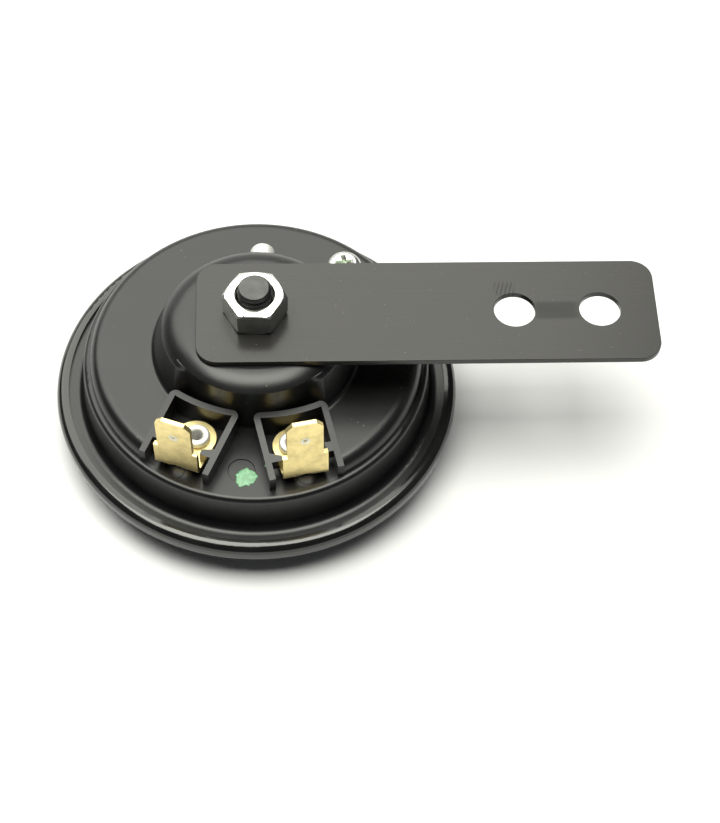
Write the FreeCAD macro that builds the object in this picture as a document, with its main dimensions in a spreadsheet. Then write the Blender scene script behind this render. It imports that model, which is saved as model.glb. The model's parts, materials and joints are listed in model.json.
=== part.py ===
"""Disc horn for a vehicle, lying on its front face, as a parametric FreeCAD document.

Frame: millimetres, +Z up. The horn's axis is the Z axis, and Z = 0 is the flat front face that
the horn rests on. The mounting strap runs along +X. The terminals point to -Y, and the housing is
clamped a few degrees round from square to the strap (housing_turn).

Every driving size is a cell of the Dims sheet. Heights are stacked: cover, gaskets, diaphragm,
housing, strap and nut each sit on the one below by named values.
"""
import FreeCAD
import Part
import Sketcher
import os

DIMENSIONS = [
    # front cover, pressed steel, its edge curled over the housing's flange
    ("cover_wall", 0.7), ("cover_dish", 4.55), ("cover_face_r", 26.2), ("cover_seat_r", 29.2),
    ("rim_r", 36.3), ("rim_bend", 1.6), ("lip_r", 34.1), ("hub_r", 9.8), ("hub_rise", 1.0),
    ("slot_count", 12), ("slot_half", 1.6), ("slot_in", 13.0), ("slot_out", 22.5),
    # gaskets and diaphragm, clamped between cover and flange
    ("gasket_wall", 0.35), ("gasket_in_r", 30.0), ("clamp_r", 34.4), ("diaphragm_wall", 0.3),
    ("ripple_in", 17.0), ("ripple_out", 23.0), ("ripple_rise", 0.9),
    # rear housing, moulded plastic; every rise is measured from the flange's underside
    ("flange_wall", 1.6), ("flange_r", 34.6), ("foot_r", 31.3), ("foot_round", 1.5),
    ("wall_top_r", 30.9), ("ledge_rise", 9.55), ("ledge_round", 1.0), ("step_r", 29.6),
    ("face_rise", 12.55), ("face_round", 2.4), ("shell_wall", 1.6), ("corner_in", 1.8),
    ("dome_base_r", 18.1), ("dome_base_round", 0.9), ("dome_edge_r", 16.5),
    ("dome_edge_rise", 18.75), ("dome_flat_r", 11.5), ("dome_rise", 21.25),
    ("dome_in_r", 14.4), ("crown_drop", 1.3), ("crown_r", 7.0), ("housing_turn", -6.1),
    # the two terminal bays in the front sector, set each side of the housing's centre line
    ("bay_angle", 19.0), ("bay_near", -3.1), ("bay_far", 7.8), ("bay_wall", 1.1),
    ("bay_back", 16.5), ("bay_back_bow", 0.6), ("bay_end", 28.4), ("bay_drop", 0.6),
    ("bay_floor_wall", 1.5), ("bay_corner", 1.2), ("sector_r", 15.65),
    ("bay_top_in", 14.35), ("bay_top_out", 12.75),
    ("rib_start", 23.45), ("rib_end", 25.25), ("rib_near_tip", -1.1), ("rib_far_tip", 6.6),
    ("boss_r", 3.4), ("boss_rise", 1.2), ("mark_r", 2.4), ("mark_place", 24.6), ("mark_depth", 0.15),
    # blade terminals and their tubular rivets
    ("rivet_across", 1.43), ("rivet_along", 21.2), ("eye_r", 3.6), ("eye_offset", 0.25),
    ("brass_wall", 0.8), ("blade_offset", 1.11), ("blade_reach", 6.6), ("blade_bend", 1.2),
    ("blade_half", 3.95), ("shoulder_rise", 6.1), ("tab_half", 3.15), ("blade_top", 14.3),
    ("tab_chamfer", 1.1), ("notch_half", 2.0), ("notch_rise", 1.2), ("dimple_rise", 3.9),
    ("dimple_r", 0.75), ("dimple_depth", 0.25), ("pit_r", 0.3), ("pit_depth", 0.55),
    ("terminal_turn_left", 4.5), ("terminal_turn_right", 1.7), ("blade_lean_left", 2.5),
    ("blade_lean_right", -5.0), ("rivet_r", 1.6), ("rivet_bore_r", 1.05),
    ("rivet_head_r", 2.25), ("rivet_head", 1.3), ("rivet_round", 0.5), ("rivet_tail", 0.6),
    ("hole_gap", 0.05),
    # magnet: yoke, core with its mounting stud, bobbin and winding
    ("yoke_wall", 1.5), ("yoke_reach", 12.9), ("yoke_half", 4.8), ("yoke_bend", 2.2),
    ("core_r", 5.0), ("core_length", 12.1), ("pole_show", 1.0), ("stud_r", 3.0),
    ("stud_show", 1.8), ("stud_chamfer", 0.6), ("spool_gap", 0.1), ("spool_wall", 0.9),
    ("spool_r", 10.6), ("coil_r", 9.9), ("coil_crown", 0.3), ("coil_gap", 0.05),
    # armature and tone disc, joined through the diaphragm
    ("armature_r", 13.6), ("armature_wall", 1.8), ("air_gap", 0.6), ("neck_r", 4.2),
    ("stem_r", 2.0), ("stem_head_r", 3.2), ("stem_head", 0.9), ("washer_r", 6.2),
    ("washer_wall", 0.6), ("spacer_r", 5.0), ("spacer_wall", 1.3), ("tone_r", 23.5),
    ("tone_wall", 0.9), ("tone_flat_r", 7.0), ("tone_dish", 1.1), ("tone_rim", 1.8),
    # contact breaker and its tone screw
    ("breaker_x", -1.1), ("breaker_y", 21.4), ("screw_x", 14.2), ("screw_y", 19.1),
    ("breaker_drop", 2.0), ("breaker_boss_r", 3.4), ("insulator_wall", 0.6),
    ("insulator_gap", 1.0), ("insulator_half", 3.0), ("leaf_wall", 0.4), ("leaf_half", 2.6),
    ("leaf_tail", 3.4), ("leaf_nose", 1.6), ("contact_at", 8.5), ("contact_r", 1.2),
    ("finger_half", 1.3), ("finger_reach", 10.2), ("pusher_reach", 9.2), ("pusher_r", 0.8),
    ("pusher_gap", 0.65), ("dome_head_r", 2.2), ("dome_head", 1.3), ("breaker_shank_r", 1.2),
    ("tail_head_r", 2.0), ("tail_head", 0.8), ("insert_r", 3.0), ("insert_drop", 2.2),
    ("screw_r", 1.5), ("screw_head_r", 3.15), ("screw_head", 1.7), ("screw_float", 0.2),
    ("recess_half", 0.45), ("recess_reach", 1.7), ("recess_depth", 1.1), ("screw_turn", 8.0),
    # mounting strap and nut
    ("strap_length", 80.6), ("strap_half", 10.8), ("strap_wall", 1.2), ("strap_inset", 10.3),
    ("strap_corner", 3.8), ("strap_hole_r", 3.65), ("strap_end_margin", 10.0),
    ("strap_pitch", 15.0), ("strap_clearance", 0.1), ("nut_flats", 9.85), ("nut_height", 5.0),
    ("nut_turn", -2.0), ("nut_mouth", 0.5), ("thread_gap", 0.03),
]

doc = FreeCAD.newDocument("disc_horn")
sheet = doc.addObject("Spreadsheet::Sheet", "Dims")
for row, (alias, number) in enumerate(DIMENSIONS, start=1):
    sheet.set("A%d" % row, alias.replace("_", " "))
    sheet.set("B%d" % row, str(number))
    sheet.setAlias("B%d" % row, alias)
doc.recompute()

# Heights shared by several pieces, above the rest face
CLAMP_STACK = "(2 * Dims.gasket_wall + Dims.diaphragm_wall + Dims.flange_wall)"
COVER_SEAT = "(Dims.cover_dish + Dims.cover_wall)"
DIAPHRAGM_BASE = "(%s + Dims.gasket_wall)" % COVER_SEAT
FLANGE_BASE = "(%s + Dims.diaphragm_wall + Dims.gasket_wall)" % DIAPHRAGM_BASE
FACE_TOP = "(%s + Dims.face_rise)" % FLANGE_BASE
CEILING = "(%s - Dims.shell_wall)" % FACE_TOP
DOME_TOP = "(%s + Dims.dome_rise)" % FLANGE_BASE
STRAP_TOP = "(%s + Dims.strap_wall)" % DOME_TOP
YOKE_TOP = "(%s - Dims.shell_wall - Dims.crown_drop)" % DOME_TOP
YOKE_BASE = "(%s - Dims.yoke_wall)" % YOKE_TOP
POLE_FACE = "(%s - Dims.core_length)" % YOKE_BASE
ARMATURE_TOP = "(%s - Dims.air_gap)" % POLE_FACE
DIAPHRAGM_TOP = "(%s + Dims.diaphragm_wall)" % DIAPHRAGM_BASE
BAY_FLOOR = "(Dims.ledge_rise - Dims.bay_drop)"
BOSS_TOP = "(%s + %s + Dims.boss_rise)" % (FLANGE_BASE, BAY_FLOOR)
BREAKER_TOP = "(%s - Dims.breaker_drop)" % CEILING
FIXED_LEAF_TOP = "(%s - Dims.insulator_wall)" % BREAKER_TOP
MOVING_LEAF_TOP = "(%s - Dims.leaf_wall - Dims.insulator_gap)" % FIXED_LEAF_TOP

nodes = []


def size(expression):
    """The number that an expression on the sheet comes to."""
    result = sheet.evalExpression(expression)
    return float(getattr(result, "Value", result))


def keep(piece):
    """Mark a finished piece, so that it is written as a node of its own."""
    nodes.append(piece)
    return piece


def new_body(name):
    body = doc.addObject("PartDesign::Body", name)
    body.Label = name
    return body


def place(piece, x="0", y="0", z="0", turn="0"):
    """Stand a piece at x, y, z, turned about Z, all by expressions."""
    spin = "create(<<rotation>>; create(<<vector>>; 0; 0; 1); %s)" % turn
    spot = "create(<<vector>>; %s; %s; %s)" % (x, y, z)
    piece.setExpression("Placement", "create(<<placement>>; %s; %s)" % (spot, spin))
    return piece


def arc_between(start, end, radius, side):
    """The arc of a radius from start to end, its centre to the left (1) or right (-1)."""
    chord = end - start
    half = chord.Length / 2
    rise = max(radius * radius - half * half, 0.0) ** 0.5
    normal = FreeCAD.Vector(-chord.y, chord.x, 0).normalize()
    centre = (start + end) / 2 + normal * rise * side
    circle = Part.Circle(centre, FreeCAD.Vector(0, 0, 1), radius)
    angles = [FreeCAD.Vector(1, 0, 0).getAngle(p - centre) for p in (start, end)]
    angles = [a if p.y >= centre.y else -a for a, p in zip(angles, (start, end))]
    if side > 0:
        return Part.ArcOfCircle(circle, angles[0], angles[1])
    return Part.ArcOfCircle(circle, angles[1], angles[0])


def pin_point(drawing, edge, end, x, y):
    """Hold one end of a sketch edge at x, y by expressions; a plain 0 holds it to the axis."""
    for kind, expression, axis in (("DistanceX", x, -2), ("DistanceY", y, -1)):
        if expression == "0":
            drawing.addConstraint(Sketcher.Constraint("PointOnObject", edge, end, axis))
            continue
        constraint = Sketcher.Constraint(kind, -1, 1, edge, end, size(expression))
        index = drawing.addConstraint(constraint)
        drawing.setExpression("Constraints[%d]" % index, expression)


def draw_loop(drawing, corners):
    """A closed outline. A corner is (x, y), or (x, y, radius, side) for an arc to the next."""
    first = drawing.GeometryCount
    points = [FreeCAD.Vector(size(c[0]), size(c[1]), 0) for c in corners]
    starts = []
    for index, corner in enumerate(corners):
        begin = points[index]
        end = points[(index + 1) % len(points)]
        if len(corner) == 2:
            drawing.addGeometry(Part.LineSegment(begin, end), False)
            starts.append((1, 2))
        else:
            drawing.addGeometry(arc_between(begin, end, size(corner[2]), corner[3]), False)
            starts.append((1, 2) if corner[3] > 0 else (2, 1))
    for index, corner in enumerate(corners):
        following = (index + 1) % len(corners)
        drawing.addConstraint(Sketcher.Constraint(
            "Coincident", first + index, starts[index][1], first + following,
            starts[following][0]))
        pin_point(drawing, first + index, starts[index][0], corner[0], corner[1])
        if len(corner) == 4:
            radius = drawing.addConstraint(
                Sketcher.Constraint("Radius", first + index, size(corner[2])))
            drawing.setExpression("Constraints[%d]" % radius, corner[2])


def draw_circle(drawing, x, y, radius):
    edge = drawing.GeometryCount
    centre = FreeCAD.Vector(size(x), size(y), 0)
    drawing.addGeometry(Part.Circle(centre, FreeCAD.Vector(0, 0, 1), size(radius)), False)
    pin_point(drawing, edge, 3, x, y)
    index = drawing.addConstraint(Sketcher.Constraint("Radius", edge, size(radius)))
    drawing.setExpression("Constraints[%d]" % index, radius)


def sketch(body, name, plane, loops=(), circles=(), lift=None):
    """A sketch on one of the body's own origin planes, lifted off it along its normal."""
    drawing = body.newObject("Sketcher::SketchObject", name)
    support = [p for p in body.Origin.OriginFeatures if p.Role == plane][0]
    drawing.AttachmentSupport = [(support, "")]
    drawing.MapMode = "FlatFace"
    if lift:
        drawing.setExpression("AttachmentOffset.Base.z", lift)
    for corners in loops:
        draw_loop(drawing, corners)
    for circle in circles:
        draw_circle(drawing, *circle)
    return drawing


def revolve(body, *outlines, kind="PartDesign::Revolution"):
    """Turn outlines of (radius, height) corners about the Z axis."""
    drawing = sketch(body, body.Name + "_section", "XZ_Plane", loops=outlines)
    turned = body.newObject(kind, body.Name + "_turned")
    turned.Profile = drawing
    turned.ReferenceAxis = (drawing, ["V_Axis"])
    turned.Angle = 360
    return turned


def pad(body, name, length, plane="XY_Plane", lift=None, loops=(), circles=(), middle=False):
    """Thicken a sketch along its plane's normal by an expression."""
    drawing = sketch(body, name + "_outline", plane, loops, circles, lift)
    thick = body.newObject("PartDesign::Pad", name)
    thick.Profile = drawing
    thick.setExpression("Length", length)
    if middle:
        thick.SideType = "Symmetric"
    return thick


def pocket(body, name, length, plane="XY_Plane", lift=None, loops=(), circles=(),
           upward=False, middle=False):
    """Cut a sketch into the body; upward cuts along the plane's normal, not against it."""
    drawing = sketch(body, name + "_outline", plane, loops, circles, lift)
    cut = body.newObject("PartDesign::Pocket", name)
    cut.Profile = drawing
    cut.setExpression("Length", length)
    cut.Reversed = upward
    if middle:
        cut.SideType = "Symmetric"
    return cut


def rectangle(left, right, low, high):
    return [(left, low), (right, low), (right, high), (left, high)]


def round_edges(body, name, radius, wanted, kind="PartDesign::Fillet"):
    """Round or chamfer the edges of the body's last feature that the test picks."""
    doc.recompute()
    base = body.Tip
    picked = ["Edge%d" % i for i, edge in enumerate(base.Shape.Edges, start=1) if wanted(edge)]
    rounded = body.newObject(kind, name)
    rounded.Base = (base, picked)
    rounded.setExpression("Radius" if kind.endswith("Fillet") else "Size", radius)
    return rounded


def is_ring(radius, height):
    """A test for circular edges about Z of one radius, at one height."""
    def wanted(edge):
        curve = edge.Curve
        if not isinstance(curve, Part.Circle):
            return False
        on_axis = abs(curve.Center.x) + abs(curve.Center.y) < 1e-4
        level = abs(curve.Center.z - size(height)) < 1e-4
        return on_axis and level and abs(curve.Radius - size(radius)) < 1e-4
    return wanted


def ring(name, outer, inner, height, x="0", y="0", z="0"):
    """A flat washer-like piece."""
    body = new_body(name)
    pad(body, name + "_plate", height, circles=[("0", "0", outer), ("0", "0", inner)])
    place(body, x=x, y=y, z=z)
    return keep(body)


def front_cover():
    body = new_body("front_cover")
    wall = "Dims.cover_wall"
    top = "(Dims.cover_dish + 2 * %s + %s)" % (wall, CLAMP_STACK)
    bend = "(Dims.rim_r - Dims.rim_bend)"
    inner_bend = "(Dims.rim_bend - %s)" % wall
    side = "(Dims.rim_r - %s)" % wall
    slope = "atan2(Dims.cover_dish; Dims.cover_seat_r - Dims.cover_face_r)"
    inset = "(%s * tan(%s / 2))" % (wall, slope)
    hub_inset = "(%s * tan(22.5))" % wall
    hub_top_r = "(Dims.hub_r - Dims.hub_rise)"
    revolve(body, [
        ("Dims.lip_r", "%s - %s" % (top, wall)),
        ("Dims.lip_r", top),
        (bend, top, "Dims.rim_bend", -1),
        ("Dims.rim_r", "%s - Dims.rim_bend" % top),
        ("Dims.rim_r", "Dims.cover_dish + Dims.rim_bend", "Dims.rim_bend", -1),
        (bend, "Dims.cover_dish"),
        ("Dims.cover_seat_r", "Dims.cover_dish"),
        ("Dims.cover_face_r", "0"),
        ("Dims.hub_r", "0"),
        (hub_top_r, "Dims.hub_rise"),
        ("0", "Dims.hub_rise"),
        ("0", "Dims.hub_rise + %s" % wall),
        ("%s - %s" % (hub_top_r, hub_inset), "Dims.hub_rise + %s" % wall),
        ("Dims.hub_r - %s" % hub_inset, wall),
        ("Dims.cover_face_r - %s" % inset, wall),
        ("Dims.cover_seat_r - %s" % inset, COVER_SEAT),
        (bend, COVER_SEAT, inner_bend, 1),
        (side, "Dims.cover_dish + Dims.rim_bend"),
        (side, "%s - Dims.rim_bend" % top, inner_bend, 1),
        (bend, "%s - %s" % (top, wall)),
    ])
    slot = [
        ("Dims.slot_in", "-Dims.slot_half"),
        ("Dims.slot_out", "-Dims.slot_half", "Dims.slot_half * 1.001", 1),
        ("Dims.slot_out", "Dims.slot_half"),
        ("Dims.slot_in", "Dims.slot_half", "Dims.slot_half * 1.001", 1),
    ]
    cut = pocket(body, "sound_slot", "1.5 * Dims.cover_wall", loops=[slot], upward=True)
    doc.recompute()
    pattern = body.newObject("PartDesign::PolarPattern", "sound_slots")
    pattern.Originals = [cut]
    pattern.Axis = (cut.Profile[0], ["N_Axis"])
    pattern.Angle = 360
    pattern.setExpression("Occurrences", "Dims.slot_count")
    body.Tip = pattern
    return keep(body)


def diaphragm():
    """A thin spring disc with one pressed ripple, clamped at its edge and at its centre."""
    body = new_body("diaphragm")
    wall = "Dims.diaphragm_wall"
    rise = "Dims.ripple_rise"
    hole = "(Dims.stem_r + Dims.hole_gap)"
    middle_in = "(Dims.ripple_in + %s)" % rise
    middle_out = "(Dims.ripple_out - %s)" % rise
    revolve(body, [
        (hole, "0"),
        ("Dims.ripple_in", "0"),
        (middle_in, rise),
        (middle_out, rise),
        ("Dims.ripple_out", "0"),
        ("Dims.clamp_r", "0"),
        ("Dims.clamp_r", wall),
        ("Dims.ripple_out + 0.414 * %s" % wall, wall),
        ("%s + 0.414 * %s" % (middle_out, wall), "%s + %s" % (rise, wall)),
        ("%s - 0.414 * %s" % (middle_in, wall), "%s + %s" % (rise, wall)),
        ("Dims.ripple_in - 0.414 * %s" % wall, wall),
        (hole, wall),
    ])
    place(body, z=DIAPHRAGM_BASE)
    return keep(body)


def housing_shell():
    """The moulding's turned form: flange, wall, ledge, back face and dome, open below."""
    body = new_body("housing_shell")
    wall = "Dims.shell_wall"
    drop = "(Dims.dome_rise - Dims.dome_edge_rise)"
    reach = "(Dims.dome_edge_r - Dims.dome_flat_r)"
    shoulder = "((%s * %s + %s * %s) / (2 * %s))" % (reach, reach, drop, drop, drop)
    ceiling = "(Dims.face_rise - %s)" % wall
    crown = "(Dims.dome_rise - %s)" % wall
    inner_ledge = "(Dims.ledge_rise - %s)" % wall
    inner_corner = "(Dims.step_r - %s - Dims.corner_in / 4)" % wall
    revolve(body, [
        ("Dims.foot_r - %s" % wall, "0"),
        ("Dims.flange_r", "0"),
        ("Dims.flange_r", "Dims.flange_wall"),
        ("Dims.foot_r + Dims.foot_round", "Dims.flange_wall", "Dims.foot_round", -1),
        ("Dims.foot_r", "Dims.flange_wall + Dims.foot_round"),
        ("Dims.wall_top_r", "Dims.ledge_rise - Dims.ledge_round", "Dims.ledge_round", 1),
        ("Dims.wall_top_r - Dims.ledge_round", "Dims.ledge_rise"),
        ("Dims.step_r", "Dims.ledge_rise"),
        ("Dims.step_r", "Dims.face_rise - Dims.face_round", "Dims.face_round", 1),
        ("Dims.step_r - Dims.face_round", "Dims.face_rise"),
        ("Dims.dome_base_r + Dims.dome_base_round", "Dims.face_rise", "Dims.dome_base_round", -1),
        ("Dims.dome_base_r", "Dims.face_rise + Dims.dome_base_round"),
        ("Dims.dome_edge_r", "Dims.dome_edge_rise", shoulder, 1),
        ("Dims.dome_flat_r", "Dims.dome_rise"),
        ("Dims.stud_r + Dims.hole_gap", "Dims.dome_rise"),
        ("Dims.stud_r + Dims.hole_gap", "%s - Dims.crown_drop" % crown),
        ("Dims.crown_r", "%s - Dims.crown_drop" % crown),
        ("Dims.crown_r", crown),
        ("Dims.dome_flat_r", crown),
        ("Dims.dome_in_r", "Dims.dome_edge_rise - %s" % wall),
        ("Dims.dome_in_r", ceiling),
        ("%s - Dims.corner_in" % inner_corner, ceiling),
        ("Dims.wall_top_r - %s" % wall, inner_ledge),
    ])
    doc.recompute()
    round_edges(body, "dome_edge", "0.5 * Dims.dome_base_round",
                is_ring("Dims.dome_edge_r", "Dims.dome_edge_rise"))
    return body


def bay_point(across, along, side):
    """A place in a bay, as x and y of the housing: across its width, and out along it."""
    turn = "Dims.bay_angle"
    x = "%d * ((%s) * cos(%s) + (%s) * sin(%s))" % (side, across, turn, along, turn)
    y = "(%s) * sin(%s) - (%s) * cos(%s)" % (across, turn, along, turn)
    return x, y


def sector_cut():
    """The room cut out of the back face, between the outer walls of the two bays."""
    body = new_body("sector_cut")
    edge = "(Dims.bay_far + Dims.bay_wall)"
    inner = "sqrt(Dims.sector_r ^ 2 - %s ^ 2)" % edge
    outer = "(Dims.flange_r + Dims.bay_wall)"
    right_in = bay_point(edge, inner, 1)
    right_out = bay_point(edge, outer, 1)
    left_in = bay_point(edge, inner, -1)
    left_out = bay_point(edge, outer, -1)
    pad(body, "sector_room", "Dims.dome_rise - Dims.ledge_rise", lift="Dims.ledge_rise", loops=[[
        right_in + ("Dims.sector_r", -1),
        left_in,
        left_out,
        right_out,
    ]])
    return body


def sector_floor():
    """The thicker floor that the bays stand on, inside the housing."""
    body = new_body("sector_floor")
    edge = "(Dims.bay_far + Dims.bay_wall)"
    inner_r = "(Dims.dome_in_r + 0.3 * Dims.shell_wall)"
    outer_r = "(Dims.foot_r - 1.3 * Dims.shell_wall)"
    inner = "sqrt(%s ^ 2 - %s ^ 2)" % (inner_r, edge)
    outer = "sqrt(%s ^ 2 - %s ^ 2)" % (outer_r, edge)
    base = "(%s - Dims.bay_floor_wall)" % BAY_FLOOR
    pad(body, "sector_plate", "Dims.face_rise - 0.7 * Dims.shell_wall - %s" % base, lift=base,
        loops=[[
            bay_point(edge, inner, 1) + (inner_r, -1),
            bay_point(edge, inner, -1),
            bay_point(edge, outer, -1) + (outer_r, 1),
            bay_point(edge, outer, 1),
        ]])
    return body


def bay_place(body, side):
    """Turn a bay's own frame (x across, -y out along it) to its place in the housing."""
    return place(body, turn="%d * Dims.bay_angle" % side)


def mirrored(side, across):
    return "%d * (%s)" % (side, across)


def bay_walls(side, tag):
    """One U-shaped bay wall with its locating ribs and the boss that carries the terminal."""
    body = new_body("bay_walls_" + tag)
    base = "(%s - Dims.bay_floor_wall / 2)" % BAY_FLOOR
    high = "(Dims.bay_top_in + 1 - %s)" % base
    near_out = "(Dims.bay_near - Dims.bay_wall)"
    far_out = "(Dims.bay_far + Dims.bay_wall)"
    back_out = "(Dims.bay_wall - Dims.bay_back)"
    half = "((Dims.bay_far - Dims.bay_near) / 2)"
    bow = "((%s * %s + Dims.bay_back_bow ^ 2) / (2 * Dims.bay_back_bow))" % (half, half)
    corner = "Dims.bay_corner"

    def at(across, along):
        return (mirrored(side, across), along)

    pad(body, "bay_wall_" + tag, high, lift=base, loops=[[
        at(near_out, "-Dims.bay_end"),
        at(near_out, "%s - %s" % (back_out, corner)) + (corner, -side),
        at("%s + %s" % (near_out, corner), back_out) + ("%s - Dims.bay_wall" % bow, side),
        at("%s - %s" % (far_out, corner), back_out) + (corner, -side),
        at(far_out, "%s - %s" % (back_out, corner)),
        at(far_out, "-Dims.bay_end"),
        at("Dims.bay_far", "-Dims.bay_end"),
        at("Dims.bay_far", "-Dims.bay_back") + (bow, -side),
        at("Dims.bay_near", "-Dims.bay_back"),
        at("Dims.bay_near", "-Dims.bay_end"),
    ]])
    middle = "((Dims.rib_start + Dims.rib_end) / 2)"
    root = "(0.5 * Dims.bay_wall)"
    over = "(%s + Dims.boss_rise + Dims.brass_wall + Dims.hole_gap)" % BAY_FLOOR
    rise = "(Dims.bay_top_in + 1 - %s)" % over
    pad(body, "near_rib_" + tag, rise, lift=over, loops=[[
        at("Dims.bay_near - %s" % root, "-Dims.rib_start"),
        at("Dims.bay_near", "-Dims.rib_start"),
        at("Dims.rib_near_tip", "-%s" % middle),
        at("Dims.rib_near_tip", "-Dims.rib_end"),
        at("Dims.bay_near - %s" % root, "-Dims.rib_end"),
    ]])
    pad(body, "far_rib_" + tag, rise, lift=over, loops=[[
        at("Dims.bay_far + %s" % root, "-Dims.rib_start"),
        at("Dims.rib_far_tip", "-Dims.rib_start"),
        at("Dims.rib_far_tip", "-Dims.rib_end"),
        at("Dims.bay_far + %s" % root, "-Dims.rib_end"),
    ]])
    slope_out = "(Dims.bay_end + 2)"
    fall = "((Dims.bay_top_in - Dims.bay_top_out) / (Dims.bay_end - Dims.bay_back))"
    peak = "(Dims.bay_top_in + Dims.bay_back * %s)" % fall
    revolve(body, [
        ("0", peak),
        (slope_out, "%s - %s * %s" % (peak, slope_out, fall)),
        (slope_out, "%s + 3" % peak),
        ("0", "%s + 3" % peak),
    ], kind="PartDesign::Groove")
    return bay_place(body, side)


def bay_room(side, tag):
    """The lowered floor inside one bay, as the solid that is cut away."""
    body = new_body("bay_room_" + tag)
    half = "((Dims.bay_far - Dims.bay_near) / 2)"
    bow = "((%s * %s + Dims.bay_back_bow ^ 2) / (2 * Dims.bay_back_bow))" % (half, half)
    near = mirrored(side, "Dims.bay_near")
    far = mirrored(side, "Dims.bay_far")
    end = "-sqrt((Dims.step_r - 0.3) ^ 2 - Dims.bay_far ^ 2)"
    near_end = "-sqrt((Dims.step_r - 0.3) ^ 2 - Dims.bay_near ^ 2)"
    pad(body, "bay_room_prism_" + tag, "Dims.bay_drop + 1", lift=BAY_FLOOR, loops=[[
        (far, "-Dims.bay_back", bow, -side),
        (near, "-Dims.bay_back"),
        (near, near_end, "Dims.step_r - 0.3", side),
        (far, end),
    ]])
    return bay_place(body, side)


def post(name, radius, base, height, x, y):
    """A plain cylinder, used for bosses and for the holes that rivets and screws pass."""
    column = doc.addObject("Part::Cylinder", name)
    column.setExpression("Radius", radius)
    column.setExpression("Height", height)
    return place(column, x=x, y=y, z=base)


def rear_housing():
    """The moulding: turned shell, cut front sector, bays, bosses and holes, as one solid."""
    floor = "(%s - Dims.bay_floor_wall)" % BAY_FLOOR
    rivet_hole = "(Dims.rivet_r + Dims.hole_gap)"
    breaker_base = "(Dims.face_rise - Dims.shell_wall - Dims.breaker_drop)"
    solids = [housing_shell(), sector_floor()]
    carved = doc.addObject("Part::MultiFuse", "housing_blank")
    carved.Shapes = solids
    hollows = doc.addObject("Part::MultiFuse", "housing_hollows")
    hollows.Shapes = [sector_cut(), bay_room(1, "right"), bay_room(-1, "left")]
    opened = doc.addObject("Part::Cut", "housing_opened")
    opened.Base = carved
    opened.Tool = hollows
    additions = [opened]
    cuts = []
    for side, tag in ((1, "right"), (-1, "left")):
        across, along = bay_point("Dims.rivet_across", "Dims.rivet_along", side)
        additions.append(bay_walls(side, tag))
        additions.append(post("boss_" + tag, "Dims.boss_r", "%s - 0.5" % BAY_FLOOR,
                              "Dims.boss_rise + 0.5", across, along))
        cuts.append(post("rivet_hole_" + tag, rivet_hole, "%s - 1" % floor,
                         "Dims.boss_rise + Dims.bay_floor_wall + 2", across, along))
    boss_height = "Dims.breaker_drop + Dims.shell_wall / 2"
    additions.append(post("breaker_boss", "Dims.breaker_boss_r", breaker_base, boss_height,
                          "Dims.breaker_x", "Dims.breaker_y"))
    additions.append(post("insert_boss", "Dims.insert_r + Dims.shell_wall",
                          "Dims.face_rise - Dims.shell_wall - Dims.insert_drop",
                          "Dims.insert_drop + Dims.shell_wall / 2",
                          "Dims.screw_x", "Dims.screw_y"))
    joined = doc.addObject("Part::MultiFuse", "housing_joined")
    joined.Shapes = additions
    cuts.append(post("breaker_hole", "Dims.breaker_shank_r + Dims.hole_gap",
                     "%s - 1" % breaker_base, "Dims.breaker_drop + Dims.shell_wall + 2",
                     "Dims.breaker_x", "Dims.breaker_y"))
    cuts.append(post("insert_hole", "Dims.insert_r + Dims.hole_gap",
                     "Dims.face_rise - Dims.shell_wall - Dims.insert_drop - 1",
                     "Dims.insert_drop + Dims.shell_wall + 2", "Dims.screw_x", "Dims.screw_y"))
    cuts.append(post("ejector_mark", "Dims.mark_r", "Dims.ledge_rise - Dims.mark_depth", "1",
                     "0", "-Dims.mark_place"))
    tools = doc.addObject("Part::MultiFuse", "housing_cuts")
    tools.Shapes = cuts
    housing = doc.addObject("Part::Cut", "rear_housing")
    housing.Label = "rear_housing"
    housing.Base = joined
    housing.Tool = tools
    place(housing, z=FLANGE_BASE, turn="Dims.housing_turn")
    return keep(housing)


def housing_point(x, y):
    """A place in the housing, as x and y of the whole horn."""
    turn = "Dims.housing_turn"
    return ("((%s) * cos(%s) - (%s) * sin(%s))" % (x, turn, y, turn),
            "((%s) * sin(%s) + (%s) * cos(%s))" % (x, turn, y, turn))


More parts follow.
